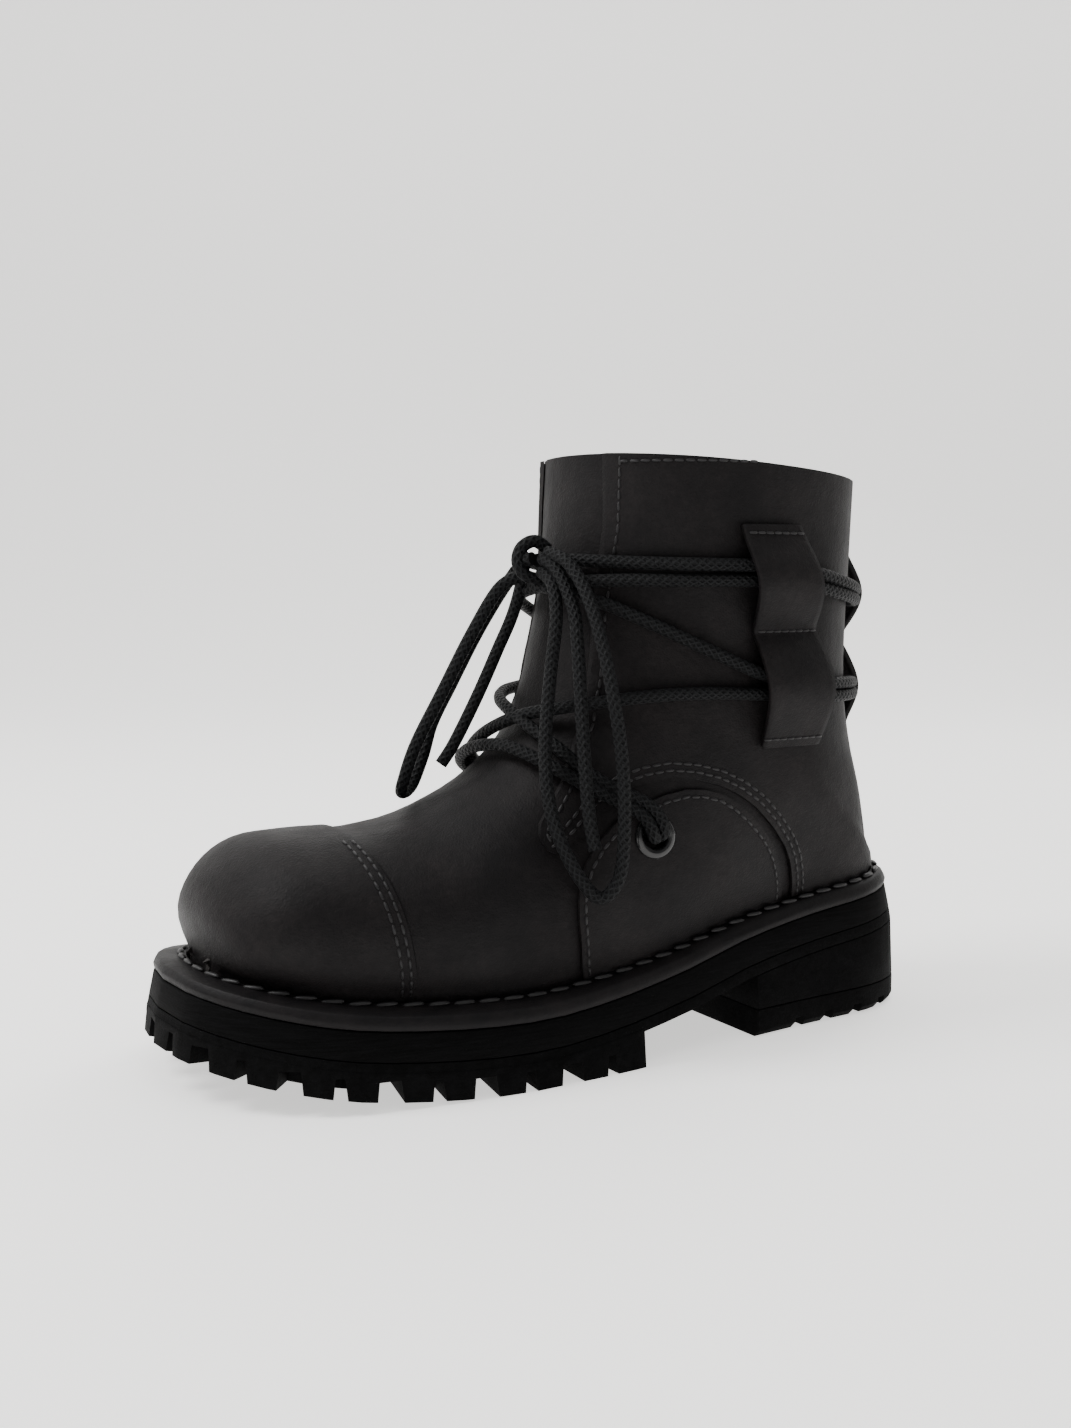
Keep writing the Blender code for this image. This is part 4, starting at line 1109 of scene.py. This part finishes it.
def finishes():
    """All materials of the boot, made once."""
    if _finishes:
        return _finishes
    c = bpy.context.scene.boot_colours
    # Oiled nubuck: buffed hide with a waxy pull-up, fine pores and cloudy patches
    f = Finish("oiled_nubuck", c.leather, 0.6, specular=0.13)
    f.tint(f.noise(34, 6, 0.62), c.leather_light, 0.8)
    f.tint(f.noise(520, 4, 0.7), c.leather_dark, 0.7)
    f.tint(f.noise(150, 5, 0.7), c.leather_dark, 0.4)
    f.rough(f.noise(26, 4), 0.5, 0.68)
    f.bump(f.noise(90, 4), 0.0008, 0.5)
    f.bump(f.noise(480, 5, 0.7), 0.0004, 0.6)
    f.bump(f.cells(1400), 0.0002, 0.6)
    f.bump(f.noise(2600, 3), 0.00008, 0.6)
    _finishes["leather"] = f.material
    # Lining: smooth black calf
    f = Finish("leather_lining", c.lining, 0.65, specular=0.15)
    f.tint(f.noise(60, 4), c.leather_dark, 0.5)
    f.bump(f.cells(1700), 0.0001, 0.5)
    _finishes["lining"] = f.material
    # Rubber of the sole: matt, with a fine moulded and buffed grain
    f = Finish("black_rubber", c.rubber, 0.75, specular=0.04)
    f.tint(f.noise(320, 5, 0.75), c.rubber_light, 0.9)
    f.rough(f.noise(40, 4), 0.66, 0.84)
    f.bump(f.noise(900, 5, 0.7), 0.00022, 0.8)
    f.bump(f.noise(260, 4, 0.6, (1.0, 1.0, 6.0)), 0.00025, 0.5)
    _finishes["rubber"] = f.material
    # Midsole rubber: trimmed with fine lines along its edge
    f = Finish("trimmed_midsole_rubber", c.rubber, 0.72, specular=0.04)
    f.tint(f.noise(120, 5, 0.7, (0.6, 0.6, 14.0)), c.rubber_light, 0.9)
    f.bump(f.noise(160, 4, 0.6, (0.6, 0.6, 14.0)), 0.0002, 0.7)
    f.bump(f.noise(1400, 3), 0.00008, 0.6)
    _finishes["midsole"] = f.material
    # Welt: waxed leather strip with a burnished edge
    f = Finish("welt_leather", c.welt, 0.52, specular=0.11)
    f.tint(f.noise(120, 4), c.leather_light, 0.4)
    f.rough(f.noise(60, 4), 0.44, 0.6)
    f.bump(f.noise(700, 5, 0.65), 0.00022, 0.8)
    _finishes["welt"] = f.material
    # Waxed thread
    f = Finish("waxed_thread", c.thread, 0.5, specular=0.35)
    f.bump(f.noise(2400, 2), 0.0001, 0.6)
    _finishes["thread"] = f.material
    # Eyelets: brass painted gloss black
    f = Finish("painted_eyelet", c.eyelet, 0.25, coat=0.25, specular=0.35)
    f.rough(f.noise(300, 3), 0.18, 0.3)
    f.bump(f.noise(900, 2), 0.00003, 0.4)
    _finishes["eyelet"] = f.material
    # Braided polyester lace: two families of strands that cross in a herringbone
    f = Finish("braided_lace", c.lace, 0.62, specular=0.12)
    uv = f.tree.nodes.new("ShaderNodeUVMap")
    uv.uv_map = "along"
    waves = []
    for turn in (1.0, -1.0):
        split = f.tree.nodes.new("ShaderNodeSeparateXYZ")
        f.link(uv.outputs["UV"], split.inputs["Vector"])
        round_it = f.tree.nodes.new("ShaderNodeMath")
        round_it.operation = "MULTIPLY"
        round_it.inputs[1].default_value = 2 * pi * 6 * turn
        f.link(split.outputs["X"], round_it.inputs[0])
        along = f.tree.nodes.new("ShaderNodeMath")
        along.operation = "MULTIPLY_ADD"
        along.inputs[1].default_value = 2 * pi / 0.0030
        f.link(split.outputs["Y"], along.inputs[0])
        f.link(round_it.outputs["Value"], along.inputs[2])
        wave = f.tree.nodes.new("ShaderNodeMath")
        wave.operation = "SINE"
        f.link(along.outputs["Value"], wave.inputs[0])
        waves.append(wave.outputs["Value"])
    top = f.tree.nodes.new("ShaderNodeMath")
    top.operation = "MAXIMUM"
    f.link(waves[0], top.inputs[0])
    f.link(waves[1], top.inputs[1])
    f.bump(top.outputs["Value"], 0.00035, 0.9)
    # Painted highlight and shade: the braid's raised strands are lightened and its valleys darkened by the same
    # heights as its bump
    f.tint(top.outputs["Value"], c.lace_crown_highlight, 0.8)
    f.bump(f.noise(3500, 2), 0.00006, 0.5)
    _finishes["lace"] = f.material
    return _finishes


class BootSizes(bpy.types.PropertyGroup):
    """Sizes of the details that the visual model adds."""

    lace: bpy.props.FloatProperty(name="Lace", description="Diameter of the lace", default=0.0047, unit="LENGTH")
    welt_stitch: bpy.props.FloatProperty(name="Welt stitch", description="Length of a welt stitch", default=0.0076, unit="LENGTH")
    welt_thread: bpy.props.FloatProperty(name="Welt thread", description="Width of the welt's thread", default=0.0023, unit="LENGTH")
    stitch: bpy.props.FloatProperty(name="Stitch", description="Length of a stitch of the upper", default=0.0032, unit="LENGTH")
    thread: bpy.props.FloatProperty(name="Thread", description="Width of the upper's thread", default=0.0011, unit="LENGTH")
    seam: bpy.props.FloatProperty(name="Seam", description="From a leather edge to its stitches", default=0.0026, unit="LENGTH")
    bevel: bpy.props.FloatProperty(name="Sole bevel", description="Rounding of the sole's edges", default=0.0004, unit="LENGTH")


def tone(label, text, code):
    return bpy.props.FloatVectorProperty(name=label, description=text, default=srgb(code), size=4, subtype="COLOR")


class BootColours(bpy.types.PropertyGroup):
    """Colours of the boot and its setting."""

    leather: tone("Leather", "Nubuck of the upper", "#0F0D0E")
    leather_light: tone("Leather, light", "Waxy light patches of the nubuck", "#231F1F")
    leather_dark: tone("Leather, dark", "Dark mottling of the nubuck", "#070607")
    lining: tone("Lining", "Inside of the upper", "#2B2827")
    rubber: tone("Rubber", "Sole", "#040404")
    rubber_light: tone("Rubber, light", "Dusty patches of the sole", "#0E0E0F")
    welt: tone("Welt", "Welt strip", "#100F10")
    thread: tone("Thread", "All stitches", "#171617")
    eyelet: tone("Eyelet", "Painted rings", "#080809")
    # Lace colours: the first is the lace's black, which also serves as painted shade in the braid's valleys; the
    # second is a painted highlight on the strands' crowns
    lace: tone("Lace", "Valleys of the braid", "#0A0A0B")
    lace_crown_highlight: tone("Lace, light", "Strands of the braid", "#18191A")
    floor: tone("Floor", "Glow of the studio floor and backdrop", "#DAD9D7")
    floor_lit: tone("Floor, lit", "Part of the floor that takes light and shadow", "#E4E3E2")


class BOOT_OT_camera(bpy.types.Operator):
    """Set up the camera at the photo's angle, the soft studio light and the pale floor"""

    bl_idname = "boot.camera"
    bl_label = "Camera, light and floor"

    def execute(self, context):
        data = bpy.data.cameras.new("camera")
        data.sensor_fit = "VERTICAL"
        data.sensor_height = 36.0
        data.lens = 36.05
        camera = bpy.data.objects.new("camera", data)
        camera.location = (0.2864, 0.4577, 0.172)
        camera.rotation_euler = (radians(84.6), 0.0, radians(148.5))
        context.scene.collection.objects.link(camera)
        context.scene.camera = camera
        colours = context.scene.boot_colours
        floor = Finish("studio_paper", colours.floor_lit, 0.9, specular=0.1)
        floor.bump(floor.noise(60, 3), 0.0002, 0.1)
        floor.shader.inputs["Emission Color"].default_value = colours.floor
        floor.shader.inputs["Emission Strength"].default_value = 1.38
        back = Vector((-0.5225, -0.8526, 0.0))
        across = Vector((0.8526, -0.5225, 0.0))
        profile = [(-9.0, 0.0), (1.2, 0.0)]
        profile += [(1.2 + 1.2 * sin(pi * i / 24), 1.2 - 1.2 * cos(pi * i / 24)) for i in range(1, 13)]
        profile += [(2.4, 9.0)]
        vertices, faces = [], []
        for run, z in profile:
            for w in (-9.0, 9.0):
                vertices.append(back * run + across * w + Vector((0.0, 0.0, z)))
        for i in range(len(profile) - 1):
            faces.append((2 * i, 2 * i + 1, 2 * i + 3, 2 * i + 2))
        sweep = mesh_object("studio_sweep", vertices, faces, [floor.material])
        world = bpy.data.worlds.new("studio")
        world.use_nodes = True
        shade = world.node_tree.nodes["Background"]
        shade.inputs["Color"].default_value = srgb("#F2F2F2")
        shade.inputs["Strength"].default_value = 0.36
        context.scene.world = world
        for name, place, aim, size, power in (
            ("key", (0.95, -0.35, 1.25), (0.05, 0.0, 0.08), 0.6, 24.0),
            ("top", (-0.1, 0.25, 1.6), (0.0, 0.0, 0.1), 1.3, 8.0),
            ("back", (-1.1, -0.5, 1.2), (0.0, 0.0, 0.1), 0.6, 9.0),
            ("fill", (0.2, 1.5, 0.7), (0.0, 0.0, 0.1), 1.2, 1.0),
        ):
            lamp = bpy.data.lights.new(name, "AREA")
            lamp.size = size
            lamp.energy = power
            piece = bpy.data.objects.new(name, lamp)
            piece.location = place
            piece.rotation_euler = (Vector(aim) - Vector(place)).to_track_quat("-Z", "Y").to_euler()
            context.scene.collection.objects.link(piece)
        return {"FINISHED"}


class BOOT_OT_lace(bpy.types.Operator):
    """Run the lace from eyelet to eyelet round the shaft, and tie its bow"""

    bl_idname = "boot.lace"
    bl_label = "Lace and bow"

    def execute(self, context):
        sizes = context.scene.boot_sizes
        braid = finishes()["lace"]
        radius = sizes.lace / 2
        rise = LAYER + OVERLAY_GAP + GAP + LACE / 2 + LACE_PLAY
        for side, name in ((1, "lace_route_outer"), (-1, "lace_route_inner")):
            fine = [on_ring(side * t, up * BOOT_HEIGHT, rise + lift * EYELET_CLEAR) for t, up, lift in curve(LACE_ROUTE, 3)]
            pose = eyelet_pose(side)
            deep = [pose @ Vector((0, 0, h)) - SHIFT for h in (-0.009, -0.002, 0.0035)]
            path = [p + SHIFT for p in even(deep + fine, 0.0016)]
            piece = tube(name, round_off(path), radius, braid)
            fit(piece, "braided_lace", *(("lace_crossings",) if side > 0 else ()))
        fine = [on_ring(t, up * BOOT_HEIGHT, rise + lift * EYELET_CLEAR) for t, up, lift in curve(LACE_BAR, 4)]
        first, last = eyelet_pose(1), eyelet_pose(-1)
        start = [first @ Vector((0, 0, h)) - SHIFT for h in (-0.009, -0.002, 0.0035)]
        end = [last @ Vector((0, 0, h)) - SHIFT for h in (0.0035, -0.002, -0.009)]
        path = [p + SHIFT for p in even(start + fine + end, 0.0016)]
        fit(tube("lace_bar", round_off(path), radius, braid), "braided_lace")
        for name, rows in (
            ("lace_loop_outer", BOW_LOOP_OUTER),
            ("lace_loop_inner", BOW_LOOP_INNER),
            ("lace_end_outer", BOW_START_OUTER + BOW_END_OUTER),
            ("lace_end_inner", BOW_START_INNER + BOW_END_INNER),
        ):
            path = smooth_line(rows, 12, 0.0016)
            piece = fit(tube("bow_" + name[5:], path, radius, braid), "braided_lace", name)
        knot_path = smooth_line(BOW_KNOT, 10, 0.0012)
        knot = fit(tube("bow_knot", knot_path, radius * 1.06, braid), "braided_lace", "lace_knot")
        wrap = fit(tube("bow_wrap", smooth_line(BOW_WRAP, 10, 0.0012), radius, braid), "braided_lace")
        return {"FINISHED"}


def round_off(path):
    """Path with its corners softened by a few passes of averaging, its ends kept."""
    for _ in range(6):
        path = [path[0]] + [(a + b * 2 + c) / 4 for a, b, c in zip(path, path[1:], path[2:])] + [path[-1]]
    return path


class BOOT_OT_upper(bpy.types.Operator):
    """Build the hollow upper with its cap, creases and lining, and the leather laid over it"""

    bl_idname = "boot.upper"
    bl_label = "Upper and overlays"

    def execute(self, context):
        f = finishes()
        upper = mesh_object("upper_leather", *fine_grid(), [f["leather"], f["lining"]])
        wall_on(upper, WALL, -1.0, inner=1)
        far, above = BALL_WIDTH, BOOT_HEIGHT * 1.1
        wing = edge_curve(WING_EDGE)
        wing += welt_line(wing[-1][0], wing[0][0], 12)[1:-1]
        quarter = edge_curve(QUARTER_EDGE)
        quarter += welt_line(quarter[-1][0], -0.01, 5)[1:] + [(-0.01, above)]
        for side, part, low, high in ((1, "outer", GAP / 2, far), (-1, "inner", -far, -GAP / 2)):
            piece = overlay("wing_leather_" + part, wing, low, high, "wing_" + part, [f["leather"]])
            pose = eyelet_pose(side)
            cut(piece, bore(pose), "DIFFERENCE")
            cut(upper, bore(pose), "DIFFERENCE")
            overlay("quarter_leather_" + part, quarter, low, high, "quarter_" + part, [f["leather"]])
            ring = (
                (EYELET_HOLE / 2, -WALL), (EYELET_BARREL / 2, -WALL), (EYELET_BARREL / 2, LAYER + EYELET_SEAT),
                (EYELET_WIDTH / 2, LAYER + EYELET_SEAT), (EYELET_WIDTH / 2 - 0.0002, LAYER + EYELET_SEAT + 0.0006),
                (EYELET_WIDTH / 2 - 0.0010, LAYER + EYELET_SEAT + 0.0012), (EYELET_WIDTH / 2 - 0.0022, LAYER + EYELET_SEAT + 0.0014),
                (EYELET_HOLE / 2 + 0.0007, LAYER + EYELET_SEAT + 0.0012), (EYELET_HOLE / 2 + 0.0001, LAYER + EYELET_SEAT + 0.0006),
            )
            vertices, faces = [], []
            count, turns = len(ring), 56
            for k in range(turns):
                a = 2 * pi * k / turns
                vertices += [pose @ Vector((r * cos(a), r * sin(a), h)) for r, h in ring]
                for i in range(count):
                    j = (i + 1) % count
                    near, far_ring = k * count, (k + 1) % turns * count
                    faces.append((near + i, far_ring + i, far_ring + j, near + j))
            eyelet = mesh_object("eyelet_ring_" + part, vertices, faces, [f["eyelet"]])
            fit(eyelet, "painted_eyelet", "eyelet_" + part)
        upper.data.shade_smooth()
        upper.data.set_sharp_from_angle(angle=0.9)
        fit(upper, "oiled_nubuck", "upper")
        for node in ("side_loop_outer", "side_loop_inner", "back_loop"):
            fit(rounded_strap(node, node + "_leather", f["leather"]), "oiled_nubuck", node)
        return {"FINISHED"}


def copy_of(node, name, materials, bevel):
    """Merged copy of a CAD node with its edges rounded."""
    mesh = frame["nodes"][node].data.copy()
    work = bmesh.new()
    work.from_mesh(mesh)
    bmesh.ops.remove_doubles(work, verts=work.verts, dist=0.00001)
    bmesh.ops.dissolve_limit(work, angle_limit=radians(0.5), verts=work.verts, edges=work.edges)
    work.to_mesh(mesh)
    work.free()
    mesh.materials.clear()
    for material in materials:
        mesh.materials.append(material)
    piece = bpy.data.objects.new(name, mesh)
    bpy.context.scene.collection.objects.link(piece)
    mesh.shade_smooth()
    mesh.set_sharp_from_angle(angle=0.6)
    edge = piece.modifiers.new("edge", "BEVEL")
    edge.width = bevel
    edge.segments = 2
    edge.limit_method = "ANGLE"
    edge.angle_limit = radians(40)
    edge.use_clamp_overlap = True
    settle(piece)
    piece.data.shade_smooth()
    piece.data.set_sharp_from_angle(angle=0.8)
    return piece


def rounded_strap(node, name, material):
    """Merged copy of a loop's CAD node, its bays rounded and its cut edges kept."""
    mesh = frame["nodes"][node].data.copy()
    work = bmesh.new()
    work.from_mesh(mesh)
    bmesh.ops.remove_doubles(work, verts=work.verts, dist=0.00001)
    bmesh.ops.join_triangles(
        work, faces=work.faces, angle_face_threshold=radians(30), angle_shape_threshold=radians(60)
    )
    crease = work.edges.layers.float.new("crease_edge")
    for edge in work.edges:
        if len(edge.link_faces) == 2 and edge.calc_face_angle() > radians(60):
            edge[crease] = 0.75
    work.to_mesh(mesh)
    work.free()
    mesh.materials.clear()
    mesh.materials.append(material)
    piece = bpy.data.objects.new(name, mesh)
    bpy.context.scene.collection.objects.link(piece)
    soft = piece.modifiers.new("soft", "SUBSURF")
    soft.levels = soft.render_levels = 2
    settle(piece)
    piece.data.shade_smooth()
    piece.data.set_sharp_from_angle(angle=1.0)
    return piece


class BOOT_OT_sole(bpy.types.Operator):
    """Round the edges of the sole's layers, the welt and the insole, and give them their materials"""

    bl_idname = "boot.sole"
    bl_label = "Sole, welt and insole"

    def execute(self, context):
        f = finishes()
        bevel = context.scene.boot_sizes.bevel
        for node, finish, slot in (
            ("outsole", "rubber", "black_rubber"),
            ("heel_block", "rubber", "black_rubber"),
            ("top_lift", "rubber", "black_rubber"),
            ("midsole", "midsole", "black_rubber"),
            ("welt", "welt", "welt_leather"),
            ("insole", "lining", "leather_lining"),
        ):
            fit(copy_of(node, node + "_rounded", [f[finish]], bevel), slot, node)
        return {"FINISHED"}


class BOOT_OT_stitches(bpy.types.Operator):
    """Sew the welt, the toe cap, the overlays, the collar and the loops"""

    bl_idname = "boot.stitches"
    bl_label = "Stitches"

    def execute(self, context):
        s = context.scene.boot_sizes
        thread = finishes()["thread"]
        objects = bpy.data.objects
        spots = []
        inset = lambda x: welt_inset(x) - BORE_GAP - 0.0022
        outer, inner = loop(inset)
        rim = [Vector((p.x, p.y, seat(p.x) + WELT_EDGE + WELT_CROWN)) for p in outer + inner[-2:0:-1]]
        rim.append(rim[0].copy())
        line = even(rim, 0.0002 + s.welt_stitch * 1.16)
        for p, q in zip(line, line[1:]):
            spots.append(((p + q) / 2 + SHIFT, (q - p).normalized(), Vector((0, 0, 1))))
        welt = capsules("welt_stitches", spots, s.welt_stitch, s.welt_thread, s.welt_thread * 0.8, thread)
        fit(welt, "welt_leather")
        spots = []
        upper = objects["upper_leather"]
        cap = [section(CAP_EDGE - gap)[:2] for gap in (0.12, 0.25)]
        for base, top in cap:
            line = [tuple(base.lerp(top, 0.13 + 0.855 * i / 60)) for i in range(61)]
            for side in (1, -1):
                spots += side_seam(upper, line, side, s.stitch * 1.25)
        wing = edge_curve(WING_EDGE)
        quarter = edge_curve(QUARTER_EDGE)
        collar = [(0.02 + 0.125 * i / 60, BOOT_HEIGHT - 0.0034) for i in range(61)]
        for side, part in ((1, "outer"), (-1, "inner")):
            piece = objects["wing_leather_" + part]
            spots += side_seam(piece, offset_line(wing, s.seam), side, s.stitch * 1.25)
            piece = objects["quarter_leather_" + part]
            spots += side_seam(piece, offset_line(quarter, -s.seam), side, s.stitch * 1.25)
            spots += side_seam(piece, offset_line(quarter[14:], -2.0 * s.seam), side, s.stitch * 1.25)
            spots += side_seam(piece, collar, side, s.stitch * 1.25)
            strap = objects["side_loop_%s_leather" % part]
            for up, front, rear in ((0.868, 0.350, 0.266), (0.705, 0.327, 0.231), (0.522, 0.309, 0.218)):
                line = [((rear + (front - rear) * i / 30) * SOLE_LENGTH, up * BOOT_HEIGHT) for i in range(31)]
                spots += side_seam(strap, line, side, s.stitch * 1.1)
        piece = capsules("upper_stitches", spots, s.stitch, s.thread, s.thread, thread)
        fit(piece, "oiled_nubuck")
        return {"FINISHED"}


class BOOT_PT_panel(bpy.types.Panel):
    """Sizes, colours and steps of the boot"""

    bl_label = "Utility ankle boot"
    bl_idname = "BOOT_PT_panel"
    bl_space_type = "VIEW_3D"
    bl_region_type = "UI"
    bl_category = "Boot"

    def draw(self, context):
        for group in (context.scene.boot_sizes, context.scene.boot_colours):
            for name in group.__annotations__:
                self.layout.prop(group, name)
        for step in STEPS:
            self.layout.operator(step.bl_idname)


STEPS = (BOOT_OT_camera, BOOT_OT_lace, BOOT_OT_upper, BOOT_OT_sole, BOOT_OT_stitches)
CLASSES = (BootSizes, BootColours) + STEPS + (BOOT_PT_panel,)


def register():
    for item in CLASSES:
        bpy.utils.register_class(item)
    bpy.types.Scene.boot_sizes = bpy.props.PointerProperty(type=BootSizes)
    bpy.types.Scene.boot_colours = bpy.props.PointerProperty(type=BootColours)


def unregister():
    del bpy.types.Scene.boot_sizes
    del bpy.types.Scene.boot_colours
    for item in reversed(CLASSES):
        bpy.utils.unregister_class(item)


def main():
    register()
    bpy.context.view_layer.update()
    bpy.ops.boot.camera()
    bpy.ops.boot.lace()
    bpy.ops.boot.upper()
    bpy.ops.boot.sole()
    bpy.ops.boot.stitches()


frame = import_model()

if __name__ == "__main__":
    main()
